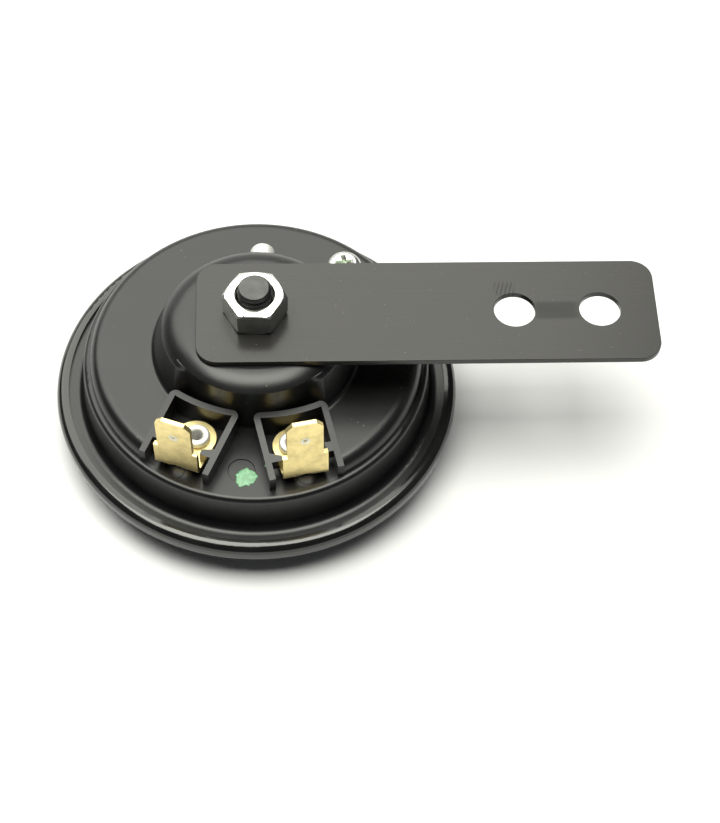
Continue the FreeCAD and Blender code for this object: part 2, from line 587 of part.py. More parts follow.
def terminal(side, tag):
    """A brass angle: a strip, round at the riveted end, bent up into a blade with shoulders."""
    body = new_body("terminal_" + tag)
    wall = "Dims.brass_wall"
    lean = "Dims.blade_lean_" + tag
    middle = mirrored(side, "Dims.blade_offset")
    eye = mirrored(side, "Dims.eye_offset")
    inner_bend = "(Dims.blade_bend - %s)" % wall
    heel = ("(Dims.blade_reach - Dims.blade_bend * (cos(%s) - tan(%s) * (1 - sin(%s))))"
            % (lean, lean, lean))

    def at(across, height):
        return ("%s + (%s)" % (middle, across), height)

    def bent(radius):
        return ("-(%s + %s * cos(%s))" % (heel, radius, lean),
                "Dims.blade_bend - %s * sin(%s)" % (radius, lean))

    def face(height, inset="0"):
        return ("-(Dims.blade_reach + tan(%s) * (%s) - %s / cos(%s))"
                % (lean, height, inset, lean), height)

    pad(body, "eye_" + tag, wall, circles=[(eye, "0", "Dims.eye_r")])
    pad(body, "strip_" + tag, wall, loops=[[
        ("%s - Dims.eye_r" % eye, "0"),
        at("-Dims.blade_half", "-%s" % heel),
        at("Dims.blade_half", "-%s" % heel),
        ("%s + Dims.eye_r" % eye, "0"),
    ]])
    over = "Dims.blade_top + 1"
    pad(body, "blade_" + tag, "2 * Dims.blade_half", plane="YZ_Plane",
        lift="%s - Dims.blade_half" % middle, loops=[[
            ("0.3 - %s" % heel, "0"),
            ("-%s" % heel, "0", "Dims.blade_bend", -1),
            bent("Dims.blade_bend"),
            face(over),
            face(over, wall),
            bent(inner_bend) + (inner_bend, 1),
            ("-%s" % heel, wall),
            ("0.3 - %s" % heel, wall),
        ]])
    clear = "(Dims.blade_reach + 4)"
    pocket(body, "tab_" + tag, "1.5 * %s" % clear, plane="XZ_Plane", lift=clear, loops=[[
        at("-2 * Dims.blade_half", "Dims.shoulder_rise"),
        at("-Dims.tab_half", "Dims.shoulder_rise"),
        at("-Dims.tab_half", "Dims.blade_top - Dims.tab_chamfer"),
        at("Dims.tab_chamfer - Dims.tab_half", "Dims.blade_top"),
        at("Dims.tab_half - Dims.tab_chamfer", "Dims.blade_top"),
        at("Dims.tab_half", "Dims.blade_top - Dims.tab_chamfer"),
        at("Dims.tab_half", "Dims.shoulder_rise"),
        at("2 * Dims.blade_half", "Dims.shoulder_rise"),
        at("2 * Dims.blade_half", "Dims.blade_top + 4"),
        at("-2 * Dims.blade_half", "Dims.blade_top + 4"),
    ]])
    arch = "((Dims.notch_half ^ 2 + Dims.notch_rise ^ 2) / (2 * Dims.notch_rise))"
    pocket(body, "notch_" + tag, "%s - %s + 0.3" % (clear, heel), plane="XZ_Plane",
           lift=clear, loops=[[
               at("-Dims.notch_half", "-1"),
               at("Dims.notch_half", "-1"),
               at("Dims.notch_half", "0") + (arch, 1),
               at("-Dims.notch_half", "0"),
           ]])
    rise = "(Dims.shoulder_rise + Dims.dimple_rise)"
    front = "(Dims.blade_reach + tan(%s) * %s)" % (lean, rise)
    for name, radius, depth in (("latch_dimple_", "Dims.dimple_r", "Dims.dimple_depth"),
                                ("latch_pit_", "Dims.pit_r", "Dims.pit_depth")):
        pocket(body, name + tag, depth, plane="XZ_Plane", lift=front,
               circles=[at("0", rise) + (radius,)])
    pocket(body, "rivet_hole_in_" + tag, "2 * %s" % wall, lift="1.5 * %s" % wall,
           circles=[("0", "0", "(Dims.rivet_r + Dims.hole_gap)")])
    x, y = housing_point(*bay_point("Dims.rivet_across", "Dims.rivet_along", side))
    turn = "Dims.housing_turn + %d * (Dims.bay_angle - Dims.terminal_turn_%s)" % (side, tag)
    place(body, x=x, y=y, z=BOSS_TOP, turn=turn)
    return keep(body)


def terminal_rivet(side, tag):
    """A hollow rivet, rolled over on the terminal's eye and flared under the bay floor."""
    body = new_body("terminal_rivet_" + tag)
    stack = "(Dims.brass_wall + Dims.boss_rise + Dims.bay_floor_wall)"
    top = "Dims.rivet_head"
    tail = "(%s + Dims.rivet_tail)" % stack
    bend = "Dims.rivet_round"
    low = "(0.6 * Dims.rivet_round)"
    revolve(body, [
        ("Dims.rivet_bore_r", "-%s" % tail),
        ("Dims.rivet_head_r", "-%s" % tail),
        ("Dims.rivet_head_r", "-%s" % stack),
        ("Dims.rivet_r", "-%s" % stack),
        ("Dims.rivet_r", "0"),
        ("Dims.rivet_head_r - %s" % low, "0", low, 1),
        ("Dims.rivet_head_r", low),
        ("Dims.rivet_head_r", "%s - %s" % (top, bend), bend, 1),
        ("Dims.rivet_head_r - %s" % bend, top),
        ("Dims.rivet_bore_r + %s" % bend, top, bend, 1),
        ("Dims.rivet_bore_r", "%s - %s" % (top, bend)),
    ])
    x, y = housing_point(*bay_point("Dims.rivet_across", "Dims.rivet_along", side))
    place(body, x=x, y=y, z="%s + Dims.brass_wall" % BOSS_TOP)
    return keep(body)


def yoke():
    """A steel strap bent to a U round the coil, its ends level with the pole."""
    body = new_body("yoke")
    wall = "Dims.yoke_wall"
    leg = "-(%s + Dims.core_length)" % wall
    side = "(Dims.yoke_reach - %s)" % wall
    flat = "(Dims.yoke_reach - Dims.yoke_bend)"
    inner_bend = "(Dims.yoke_bend - %s)" % wall
    pad(body, "yoke_strap", "2 * Dims.yoke_half", plane="XZ_Plane", middle=True, loops=[[
        ("Dims.yoke_reach", leg),
        ("Dims.yoke_reach", "-Dims.yoke_bend", "Dims.yoke_bend", 1),
        (flat, "0"),
        ("-%s" % flat, "0", "Dims.yoke_bend", 1),
        ("-Dims.yoke_reach", "-Dims.yoke_bend"),
        ("-Dims.yoke_reach", leg),
        ("-%s" % side, leg),
        ("-%s" % side, "-Dims.yoke_bend", inner_bend, -1),
        ("-%s" % flat, "-%s" % wall),
        (flat, "-%s" % wall, inner_bend, -1),
        (side, "-Dims.yoke_bend"),
        (side, leg),
    ]])
    pocket(body, "stud_hole", "2 * %s" % wall, lift="0.5 * %s" % wall,
           circles=[("0", "0", "Dims.stud_r + Dims.hole_gap")])
    place(body, z=YOKE_TOP, turn="Dims.housing_turn")
    return keep(body)


def stud_core():
    """The pole of the magnet, with the mounting stud turned on its back end."""
    body = new_body("stud_core")
    top = "(%s + Dims.nut_height + Dims.stud_show - %s)" % (STRAP_TOP, POLE_FACE)
    revolve(body, [
        ("0", "0"),
        ("Dims.core_r", "0"),
        ("Dims.core_r", "Dims.core_length"),
        ("Dims.stud_r", "Dims.core_length"),
        ("Dims.stud_r", "%s - Dims.stud_chamfer" % top),
        ("Dims.stud_r - Dims.stud_chamfer", top),
        ("0", top),
    ])
    place(body, z=POLE_FACE)
    return keep(body)


def coil():
    """The moulded bobbin, and the winding as the one block that it is wound into."""
    bobbin = new_body("coil_bobbin")
    height = "(Dims.core_length - Dims.pole_show - Dims.spool_gap)"
    inner = "(Dims.core_r + Dims.spool_gap)"
    tube = "(%s + Dims.spool_wall)" % inner
    revolve(bobbin, [
        (inner, "0"),
        ("Dims.spool_r", "0"),
        ("Dims.spool_r", "Dims.spool_wall"),
        (tube, "Dims.spool_wall"),
        (tube, "%s - Dims.spool_wall" % height),
        ("Dims.spool_r", "%s - Dims.spool_wall" % height),
        ("Dims.spool_r", height),
        (inner, height),
    ])
    winding = new_body("coil_winding")
    low = "(Dims.spool_wall + Dims.coil_gap)"
    high = "(%s - Dims.spool_wall - Dims.coil_gap)" % height
    revolve(winding, [
        ("%s + Dims.coil_gap" % tube, low),
        ("Dims.coil_r - Dims.coil_crown", low),
        ("Dims.coil_r", "%s + Dims.coil_crown" % low),
        ("Dims.coil_r", "%s - Dims.coil_crown" % high),
        ("Dims.coil_r - Dims.coil_crown", high),
        ("%s + Dims.coil_gap" % tube, high),
    ])
    for body in (bobbin, winding):
        place(body, z="%s + Dims.pole_show" % POLE_FACE)
        keep(body)


def armature():
    body = new_body("armature")
    hole = "(Dims.stem_r + Dims.hole_gap)"
    plate = "(%s - Dims.armature_wall - %s - Dims.washer_wall)" % (ARMATURE_TOP, DIAPHRAGM_TOP)
    top = "(%s + Dims.armature_wall)" % plate
    revolve(body, [
        (hole, "0"),
        ("Dims.neck_r", "0"),
        ("Dims.neck_r", plate),
        ("Dims.armature_r", plate),
        ("Dims.armature_r", top),
        (hole, top),
    ])
    place(body, z="%s + Dims.washer_wall" % DIAPHRAGM_TOP)
    return keep(body)


def stem():
    """The rivet that draws tone disc, spacer, diaphragm, washer and armature together."""
    body = new_body("sounder_stem")
    base = "(%s - Dims.spacer_wall - Dims.tone_wall - Dims.stem_head)" % DIAPHRAGM_BASE
    top = "(%s - 2 * Dims.hole_gap - %s)" % (ARMATURE_TOP, base)
    revolve(body, [
        ("0", "0"),
        ("Dims.stem_head_r", "0"),
        ("Dims.stem_head_r", "Dims.stem_head"),
        ("Dims.stem_r", "Dims.stem_head"),
        ("Dims.stem_r", top),
        ("0", top),
    ])
    place(body, z=base)
    return keep(body)


def tone_disc():
    """A dished resonator plate with a short turned-up rim."""
    body = new_body("tone_disc")
    wall = "Dims.tone_wall"
    hole = "(Dims.stem_r + Dims.hole_gap)"
    low = "(-Dims.tone_dish)"
    slope_end = "(Dims.tone_flat_r + 2 * Dims.tone_dish)"
    bend = "(0.22 * %s)" % wall
    revolve(body, [
        (hole, "0"),
        ("Dims.tone_flat_r", "0"),
        (slope_end, low),
        ("Dims.tone_r", low),
        ("Dims.tone_r", "%s + Dims.tone_rim" % low),
        ("Dims.tone_r - %s" % wall, "%s + Dims.tone_rim" % low),
        ("Dims.tone_r - %s" % wall, "%s + %s" % (low, wall)),
        ("%s + %s" % (slope_end, bend), "%s + %s" % (low, wall)),
        ("Dims.tone_flat_r + %s" % bend, wall),
        (hole, wall),
    ])
    place(body, z="%s - Dims.spacer_wall - %s" % (DIAPHRAGM_BASE, wall))
    return keep(body)


LEAF_TURN = "(atan2(Dims.screw_y - Dims.breaker_y; Dims.screw_x - Dims.breaker_x) / 1 deg)"
LEAF_REACH = ("sqrt((Dims.screw_x - Dims.breaker_x) ^ 2"
              " + (Dims.screw_y - Dims.breaker_y) ^ 2)")


def breaker_place(body, base, along="0", across="0"):
    """Put a piece in the contact breaker, whose own X axis runs from rivet to tone screw."""
    x = "Dims.breaker_x + (%s) * cos(%s) - (%s) * sin(%s)" % (along, LEAF_TURN, across, LEAF_TURN)
    y = "Dims.breaker_y + (%s) * sin(%s) + (%s) * cos(%s)" % (along, LEAF_TURN, across, LEAF_TURN)
    x, y = housing_point(x, y)
    return place(body, x=x, y=y, z=base, turn="Dims.housing_turn + %s" % LEAF_TURN)


def breaker_plate(name, outline, height, base):
    """A flat piece of the breaker, with the rivet's hole through it."""
    body = new_body(name)
    hole = "Dims.breaker_shank_r + Dims.hole_gap"
    pad(body, name + "_plate", height, loops=[outline], circles=[("0", "0", hole)])
    breaker_place(body, base)
    return keep(body)


def contact_breaker():
    """Two leaves between three insulators on one rivet, with their points and the pusher."""
    half = "Dims.insulator_half"
    square = rectangle("-%s" % half, half, "-%s" % half, half)
    fixed_end = "(%s + Dims.leaf_nose)" % LEAF_REACH
    moving_end = "(Dims.contact_at + Dims.leaf_half)"
    leaf_base = "(%s - Dims.leaf_wall)" % MOVING_LEAF_TOP
    breaker_plate("insulator_upper", square, "Dims.insulator_wall", FIXED_LEAF_TOP)
    breaker_plate("fixed_contact_arm",
                  rectangle("-Dims.leaf_tail", fixed_end, "-Dims.leaf_half", "Dims.leaf_half"),
                  "Dims.leaf_wall", "%s - Dims.leaf_wall" % FIXED_LEAF_TOP)
    breaker_plate("insulator_middle", square, "Dims.insulator_gap", MOVING_LEAF_TOP)
    breaker_plate("moving_contact_arm", [
        ("-Dims.leaf_tail", "-Dims.leaf_half"),
        ("Dims.contact_at - Dims.finger_half", "-Dims.leaf_half"),
        ("Dims.contact_at - Dims.finger_half", "-Dims.finger_reach"),
        ("Dims.contact_at + Dims.finger_half", "-Dims.finger_reach"),
        ("Dims.contact_at + Dims.finger_half", "-Dims.leaf_half"),
        (moving_end, "-Dims.leaf_half"),
        (moving_end, "Dims.leaf_half"),
        ("-Dims.leaf_tail", "Dims.leaf_half"),
    ], "Dims.leaf_wall", leaf_base)
    breaker_plate("insulator_lower", square, "Dims.insulator_wall",
                  "%s - Dims.insulator_wall" % leaf_base)
    point_height = "0.5 * Dims.insulator_gap"
    pusher_base = "(%s + Dims.pusher_gap)" % ARMATURE_TOP
    for name, radius, height, base, across in (
            ("fixed_contact_point", "Dims.contact_r", point_height,
             "%s + %s" % (MOVING_LEAF_TOP, point_height), "0"),
            ("moving_contact_point", "Dims.contact_r", point_height, MOVING_LEAF_TOP, "0"),
            ("contact_pusher", "Dims.pusher_r", "%s - %s" % (leaf_base, pusher_base),
             pusher_base, "-Dims.pusher_reach")):
        body = new_body(name)
        pad(body, name + "_round", height, circles=[("0", "0", radius)])
        breaker_place(body, base, along="Dims.contact_at", across=across)
        keep(body)
    rivet = new_body("contact_rivet")
    stack = "(%s - %s + Dims.insulator_wall)" % (FACE_TOP, leaf_base)
    dome = "((Dims.dome_head_r ^ 2 + Dims.dome_head ^ 2) / (2 * Dims.dome_head))"
    revolve(rivet, [
        ("0", "-(%s + Dims.tail_head)" % stack),
        ("Dims.tail_head_r", "-(%s + Dims.tail_head)" % stack),
        ("Dims.tail_head_r", "-%s" % stack),
        ("Dims.breaker_shank_r", "-%s" % stack),
        ("Dims.breaker_shank_r", "0"),
        ("Dims.dome_head_r", "0", dome, 1),
        ("0", "Dims.dome_head"),
    ])
    breaker_place(rivet, FACE_TOP)
    keep(rivet)


def tone_screw():
    """The adjusting screw: pan head with a cross recess, its tip on the fixed arm."""
    x, y = housing_point("Dims.screw_x", "Dims.screw_y")
    ring("screw_insert", "Dims.insert_r", "Dims.screw_r + Dims.thread_gap",
         "Dims.insert_drop + Dims.shell_wall", x=x, y=y, z="%s - Dims.insert_drop" % CEILING)
    body = new_body("tone_screw")
    reach = "(%s + Dims.screw_float - %s - Dims.hole_gap)" % (FACE_TOP, FIXED_LEAF_TOP)
    point = "(0.3 * Dims.screw_r)"
    edge = "(0.35 * Dims.screw_head)"
    crown_r = "(0.45 * Dims.screw_head_r)"
    revolve(body, [
        ("0", "-%s" % reach),
        ("Dims.screw_r - %s" % point, "-%s" % reach),
        ("Dims.screw_r", "%s - %s" % (point, reach)),
        ("Dims.screw_r", "0"),
        ("Dims.screw_head_r", "0"),
        ("Dims.screw_head_r", edge, crown_r, 1),
        ("0.65 * Dims.screw_head_r", "Dims.screw_head"),
        ("0", "Dims.screw_head"),
    ])
    half = "Dims.recess_half"
    far = "Dims.recess_reach"
    pocket(body, "cross_recess", "Dims.recess_depth", lift="Dims.screw_head", loops=[[
        (far, "-%s" % half), (far, half), (half, half), (half, far),
        ("-%s" % half, far), ("-%s" % half, half), ("-%s" % far, half), ("-%s" % far, "-%s" % half),
        ("-%s" % half, "-%s" % half), ("-%s" % half, "-%s" % far), (half, "-%s" % far),
        (half, "-%s" % half),
    ]])
    place(body, x=x, y=y, z="%s + Dims.screw_float" % FACE_TOP, turn="Dims.screw_turn")
    return keep(body)


def mounting_strap():
    """The flat steel strap, clamped on the dome by the nut, with two holes in its far end."""
    body = new_body("mounting_strap")
    right = "(Dims.strap_length - Dims.strap_inset)"
    left = "(-Dims.strap_inset)"
    half = "Dims.strap_half"
    corner = "Dims.strap_corner"
    far_hole = "(%s - Dims.strap_end_margin)" % right
    pad(body, "strap_plate", "Dims.strap_wall", loops=[[
        ("%s - %s" % (right, corner), "-%s" % half, corner, 1),
        (right, "%s - %s" % (corner, half)),
        (right, "%s - %s" % (half, corner), corner, 1),
        ("%s - %s" % (right, corner), half),
        ("%s + %s" % (left, corner), half, corner, 1),
        (left, "%s - %s" % (half, corner)),
        (left, "%s - %s" % (corner, half), corner, 1),
        ("%s + %s" % (left, corner), "-%s" % half),
    ]], circles=[
        ("0", "0", "Dims.stud_r + Dims.strap_clearance"),
        (far_hole, "0", "Dims.strap_hole_r"),
        ("%s - Dims.strap_pitch" % far_hole, "0", "Dims.strap_hole_r"),
    ])
    place(body, z=DOME_TOP)
    return keep(body)


def strap_nut():
    body = new_body("strap_nut")
    height = "Dims.nut_height"
    corner = "(Dims.nut_flats / 2 / cos(30))"
    bore = "(Dims.stud_r + Dims.thread_gap)"
    hexagon = [("%s * cos(%d)" % (corner, angle), "%s * sin(%d)" % (corner, angle))
               for angle in range(15, 360, 60)]
    pad(body, "nut_block", height, loops=[hexagon], circles=[("0", "0", bore)])
    start = "(0.48 * Dims.nut_flats)"
    beyond = "(0.7 * Dims.nut_flats)"
    fall = "((%s - %s) * tan(30))" % (beyond, start)
    revolve(body,
            [(start, height), (beyond, "%s - %s" % (height, fall)), (beyond, height)],
            [(start, "0"), (beyond, "0"), (beyond, fall)],
            [(bore, "%s - Dims.nut_mouth" % height), ("%s + Dims.nut_mouth" % bore, height),
             (bore, height)],
            kind="PartDesign::Groove")
    place(body, z=STRAP_TOP, turn="Dims.nut_turn - 15")
    return keep(body)


front_cover()
ring("front_gasket", "Dims.clamp_r", "Dims.gasket_in_r", "Dims.gasket_wall", z=COVER_SEAT)
diaphragm()
ring("rear_gasket", "Dims.clamp_r", "Dims.gasket_in_r", "Dims.gasket_wall", z=DIAPHRAGM_TOP)
rear_housing()
for side, tag in ((1, "right"), (-1, "left")):
    terminal(side, tag)
    terminal_rivet(side, tag)
yoke()
stud_core()
coil()
armature()
stem()
ring("sounder_washer", "Dims.washer_r", "Dims.stem_r + Dims.hole_gap", "Dims.washer_wall",
     z=DIAPHRAGM_TOP)
ring("sounder_spacer", "Dims.spacer_r", "Dims.stem_r + Dims.hole_gap", "Dims.spacer_wall",
     z="%s - Dims.spacer_wall" % DIAPHRAGM_BASE)
tone_disc()
contact_breaker()
tone_screw()
mounting_strap()
strap_nut()

doc.recompute()
failed = [o.Label for o in doc.Objects if "Invalid" in o.State or "Error" in o.State]
if failed:
    raise RuntimeError("failed objects: %s" % failed)
os.makedirs("parts", exist_ok=True)
for piece in nodes:
    shape = piece.Shape
    if shape.isNull() or not shape.isValid() or not shape.Solids:
        raise RuntimeError("bad shape: %s" % piece.Label)
    shape.exportStep("parts/%s.step" % piece.Label)
    print(piece.Label, len(shape.Solids), round(shape.Volume, 1), shape.BoundBox)
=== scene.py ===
"""Dresses the disc horn: finer shapes over the solids, their finishes, and the stage."""

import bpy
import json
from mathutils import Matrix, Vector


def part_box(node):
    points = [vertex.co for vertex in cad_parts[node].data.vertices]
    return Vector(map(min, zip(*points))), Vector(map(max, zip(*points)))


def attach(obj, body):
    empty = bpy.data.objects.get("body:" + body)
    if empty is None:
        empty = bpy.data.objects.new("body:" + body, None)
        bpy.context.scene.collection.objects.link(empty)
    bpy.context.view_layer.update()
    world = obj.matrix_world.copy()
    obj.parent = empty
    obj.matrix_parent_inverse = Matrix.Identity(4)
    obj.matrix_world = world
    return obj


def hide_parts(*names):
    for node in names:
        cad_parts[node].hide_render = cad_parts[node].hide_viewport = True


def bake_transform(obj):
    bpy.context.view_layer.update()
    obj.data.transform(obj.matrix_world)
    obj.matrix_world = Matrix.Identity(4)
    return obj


bl_info = {
    "name": "Disc Horn",
    "version": (1, 0, 0),
    "blender": (4, 5, 0),
    "location": "3D View > Sidebar > Horn",
    "description": "Builds the finished look of a vehicle's disc horn over its solids",
    "category": "Object",
}

import bpy
import bmesh
import json
import math
from mathutils import Matrix, Vector

MM = 0.001
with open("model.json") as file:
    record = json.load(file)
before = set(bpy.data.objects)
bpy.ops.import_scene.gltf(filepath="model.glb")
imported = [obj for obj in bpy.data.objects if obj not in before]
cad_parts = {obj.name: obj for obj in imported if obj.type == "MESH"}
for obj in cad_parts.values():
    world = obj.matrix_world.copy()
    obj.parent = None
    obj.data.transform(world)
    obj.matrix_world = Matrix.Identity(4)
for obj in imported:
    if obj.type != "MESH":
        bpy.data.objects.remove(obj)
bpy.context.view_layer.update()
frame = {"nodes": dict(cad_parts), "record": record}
BODY_OF_NODE = {
    node: body
    for body, listed in frame["record"]["behaviour"]["bodies"].items()
    for node in listed
}

# Unless a line says otherwise, lengths are in millimetres and angles in degrees. The horn
# lies on its front, so heights run up Z from the face it rests on; the strap lies along X.

MERGE_GAP = 0.002           # corners of a solid's triangles closer than this are one
FLAT_ANGLE = 0.4            # faces that differ by less than this are one
SHARP_ANGLE = 32.0          # edges sharper than this are broken

SECTOR_TURN = -6.1          # the front sector's centre line, from straight ahead
BAY_TURN = 19.0             # a terminal bay's centre line, from the sector's
BAY_SIDE = 8.9              # from a bay's centre line to the side of the sector cut
SECTOR_WALL_R = 15.65       # the wall left by the sector cut, from the horn's axis

FOOT = (19.0, 19.7, 0.9)    # the fillet at the dome's foot: its centre's radius and height,
                            # and its own radius
FLANK_TOP = (16.5, 25.0)    # where the dome's flank meets its shoulder: radius and height
SHOULDER = (11.5, 21.25, 6.25)      # the dome's shoulder, as for its foot
BLEND_HEIGHTS = (18.81, 25.9)       # the flank blends' lower and upper ends

THREAD_R = 2.98
THREAD_PITCH = 1.0
THREAD_CHAMFER = 0.3
THREAD_START = 0.3          # from the strap's top to where the thread begins

BEND_HEIGHT = 16.4          # where a blade turns up from its strip
BLADE_REACH = 6.6           # from a terminal rivet's axis to its blade's face
LATCH_HEIGHT = 26.4
LATCH_SHIFT = 1.11          # the latch dish, sideways from the rivet's axis
LATCH_SQUASH = 0.92         # its height for its width
# The dish's outline: radius, and height over the blade's face.
LATCH_OUTLINE = ((0.86, 0.0), (0.84, 0.035), (0.83, 0.036), (0.34, 0.03), (0.32, 0.02),
                 (0.27, -0.05), (0.27, -0.3), (0.36, -0.3), (0.74, -0.04))
# For each blade: its rivet's axis, the way its strip points, the side that its middle lies
# on, and its lean, which is positive outwards.
BLADES = {
    "right": ((6.1268, -20.3457), (0.194, -0.981), 1, -5.0),
    "left": ((-10.288, -18.592), (-0.352, -0.936), -1, 2.5),
}

SECTORS = 12                # of the diaphragm
DIAPHRAGM_WALL = 0.3
# The diaphragm's underside: radius and height.
DIAPHRAGM_OUTLINE = ((2.06, 5.6), (4.5, 5.6), (7.0, 5.6), (10.0, 5.6), (13.5, 5.6),
                     (16.95, 5.6), (17.85, 6.5), (20.0, 6.5), (22.2, 6.5), (23.05, 5.6),
                     (26.0, 5.6), (30.0, 5.6), (34.4, 5.6))

BAY_PINS = ((8.73, -25.33, 15.2), (-14.08, -23.8, 15.2))
LEDGE_PIN = (-2.614, -24.461, 15.66)
# A dab's uneven edge: the count, height and phase of each wave round it.
MARK_WAVES = ((2, 0.07, 0.6), (3, 0.06, 2.0), (5, 0.05, 0.4), (9, 0.05, 1.0), (14, 0.03, 0.2))
FLECK_WAVES = ((2, 0.2, 0.3), (5, 0.1, 1.1))
LACQUER_EDGE = 0.1

DUST = (0.30, 0.30, 0.29, 1.0)
STRAP_DUST = (0.32, 0.31, 0.29, 1.0)
NICKED = (0.4, 0.4, 0.38, 1.0)
# Paler brass for the latch dishes: a painted highlight, so that each dish shows as a bright
# glint on its blade.
LATCH_GLINT_BRASS = (1.0, 0.98, 0.84)
TINNED_BRASS = (0.93, 0.93, 0.91)
CONTACT_BRASS = (0.72, 0.52, 0.22)
MAGNET_STEEL = (0.52, 0.52, 0.50)
SPRING_STEEL = (0.60, 0.60, 0.60)
INSULATOR_BOARD = (0.36, 0.17, 0.07)
GASKET_PAPER = (0.30, 0.25, 0.17)
BOBBIN_NYLON = (0.78, 0.76, 0.68)
LOCKING_LACQUER = (0.36, 0.50, 0.30)

# The stage, in metres. A lamp's row: where it stands, what it faces, its width and height.
# Its power is the setting of the same name.
LAMPS = {
    "back": ((-0.35, 0.55, 0.7), (-0.35, 0.0, 0.0), 1.2, 0.7),
    "top": ((-0.05, 0.0, 0.75), (-0.05, 0.0, 0.0), 0.8, 0.42),
    "low": ((-0.25, 0.95, 0.2), (-0.25, 0.0, 0.1), 1.5, 0.3),
}
LAMP_COLOUR = (1.0, 1.0, 0.915)
FILL_COLOUR = (0.97, 0.98, 1.0, 1.0)
WHITE = (1.0, 1.0, 1.0, 1.0)
FLOOR_COLOUR = (0.8, 0.8, 0.82, 1.0)
FLOOR_MIRRORED = (0.7, 0.7, 0.71, 1.0)      # the floor as polished faces show it
FLOOR_REACH = 3.0
FLOOR_LEVEL = -0.05 * MM                    # just clear of the face the horn rests on
SENSOR = 36.0                               # the camera's long side, in millimetres
CLIP = (0.01, 20.0)


# ---------------------------------------------------------------- node trees

class Wire:
    """A value on its way through a node tree, which can be used in arithmetic."""

    def __init__(self, wiring, socket):
        self.wiring = wiring
        self.socket = socket

    def _maths(self, operation, *values):
        inputs = dict(enumerate(values))
        return self.wiring.node("ShaderNodeMath", {"operation": operation}, inputs)

    def __add__(self, other):
        return self._maths("ADD", self, other)

    __radd__ = __add__

    def __sub__(self, other):
        return self._maths("SUBTRACT", self, other)

    def __rsub__(self, other):
        return self._maths("SUBTRACT", other, self)

    def __mul__(self, other):
        return self._maths("MULTIPLY", self, other)

    __rmul__ = __mul__

    def sine(self):
        return self._maths("SINE", self)

    def size(self):
        return self._maths("ABSOLUTE", self)

    def between(self, none, full):
        """0 up to one value and 1 from the other, smooth between them, either way round."""
        settings = {"interpolation_type": "SMOOTHSTEP"}
        inputs = {"Value": self, "From Min": none, "From Max": full}
        return self.wiring.node("ShaderNodeMapRange", settings, inputs, "Result")


class Wiring:
    """A node tree, emptied and built again."""

    def __init__(self, tree):
        self.tree = tree
        tree.nodes.clear()

    def node(self, kind, settings=None, inputs=None, output=0):
        """Adds a node, sets its settings and then its sockets, and gives one output."""
        made = self.tree.nodes.new(kind)
        for key, value in (settings or {}).items():
            setattr(made, key, value)
        for key, value in (inputs or {}).items():
            self.feed(made.inputs[key], value)
        return Wire(self, made.outputs[output]) if made.outputs else None

    def feed(self, socket, value):
        """Gives a socket its link or its value."""
        if isinstance(value, Wire):
            self.tree.links.new(value.socket, socket)
        else:
            socket.default_value = value

    def by_ray(self, ray, usual, seen):
        """One shader for rays of a kind, and the usual one for the others."""
        mask = self.node("ShaderNodeLightPath", output=ray)
        return self.node("ShaderNodeMixShader", None, {"Fac": mask, 1: usual, 2: seen})


class Finish(Wiring):
    """A material: a Principled BSDF whose patterns lie on Object coordinates.

    Further sockets are given by name, with _ for each space.
    """

    def __init__(self, name, colour, roughness, metallic=0.0, **sockets):
        self.material = bpy.data.materials.new(name)
        self.material.use_nodes = True
        super().__init__(self.material.node_tree)
        self.shader = self.tree.nodes.new("ShaderNodeBsdfPrincipled")
        output = self.tree.nodes.new("ShaderNodeOutputMaterial")
        self.tree.links.new(self.shader.outputs[0], output.inputs["Surface"])
        self.material.diffuse_color = (*colour, 1.0)
        self.set("Base Color", (*colour, 1.0))
        self.set("Roughness", roughness)
        self.set("Metallic", metallic)
        for socket, value in sockets.items():
            self.set(socket.replace("_", " "), value)

    def set(self, socket, value):
        self.feed(self.shader.inputs[socket], value)

    def place(self, stretch=(1, 1, 1), turn=0.0):
        """Object coordinates in millimetres, stretched and turned about Z."""
        inputs = {"Vector": self.node("ShaderNodeTexCoord", output="Object"),
                  "Rotation": (0, 0, math.radians(turn)),
                  "Scale": tuple(s / MM for s in stretch)}
        return self.node("ShaderNodeMapping", {"vector_type": "POINT"}, inputs, "Vector")

    def axis(self, name, where=None):
        inputs = {"Vector": where or self.place()}
        return self.node("ShaderNodeSeparateXYZ", None, inputs, name)

    def noise(self, scale, detail=3.0, rough=0.5, where=None):
        inputs = {"Vector": where or self.place(), "Scale": scale, "Detail": detail,
                  "Roughness": rough}
        return self.node("ShaderNodeTexNoise", {"noise_dimensions": "3D"}, inputs, "Fac")

    def cells(self, scale, where=None):
        """How far a point is from the nearest of a scatter of centres."""
        inputs = {"Vector": where or self.place(), "Scale": scale}
        return self.node("ShaderNodeTexVoronoi", {"feature": "F1"}, inputs, "Distance")

    def dust(self, scale, speck, drift, spread):
        """Specks of dust, gathered where a broader pattern is within a spread of values."""
        specks = self.cells(scale).between(speck, 0.03)
        return specks * self.noise(drift, 2.0).between(*spread)

    def patch(self, middle, soft, firm):
        """A soft-edged rectangle: 1 within its firm half sizes and 0 past its soft ones."""
        x = (self.axis("X") - middle[0]).size()
        y = (self.axis("Y") - middle[1]).size()
        return x.between(soft[0], firm[0]) * y.between(soft[1], firm[1])

    def blend(self, mask, low, high):
        """One colour over another by a mask."""
        settings = {"data_type": "RGBA", "blend_type": "MIX"}
        return self.node("ShaderNodeMix", settings, {"Factor": mask, 6: low, 7: high}, 2)

    def relief(self, height, depth):
        """Bump of a depth in millimetres."""
        inputs = {"Height": height, "Distance": depth * MM, "Strength": 1.0}
        return self.node("ShaderNodeBump", None, inputs, "Normal")


# ---------------------------------------------------------------- finishes

def rgba(colour, gain=1.0):
    """A colour made lighter or darker by a gain, with its alpha."""
    return tuple(c * gain for c in colour[:3]) + (1.0,)


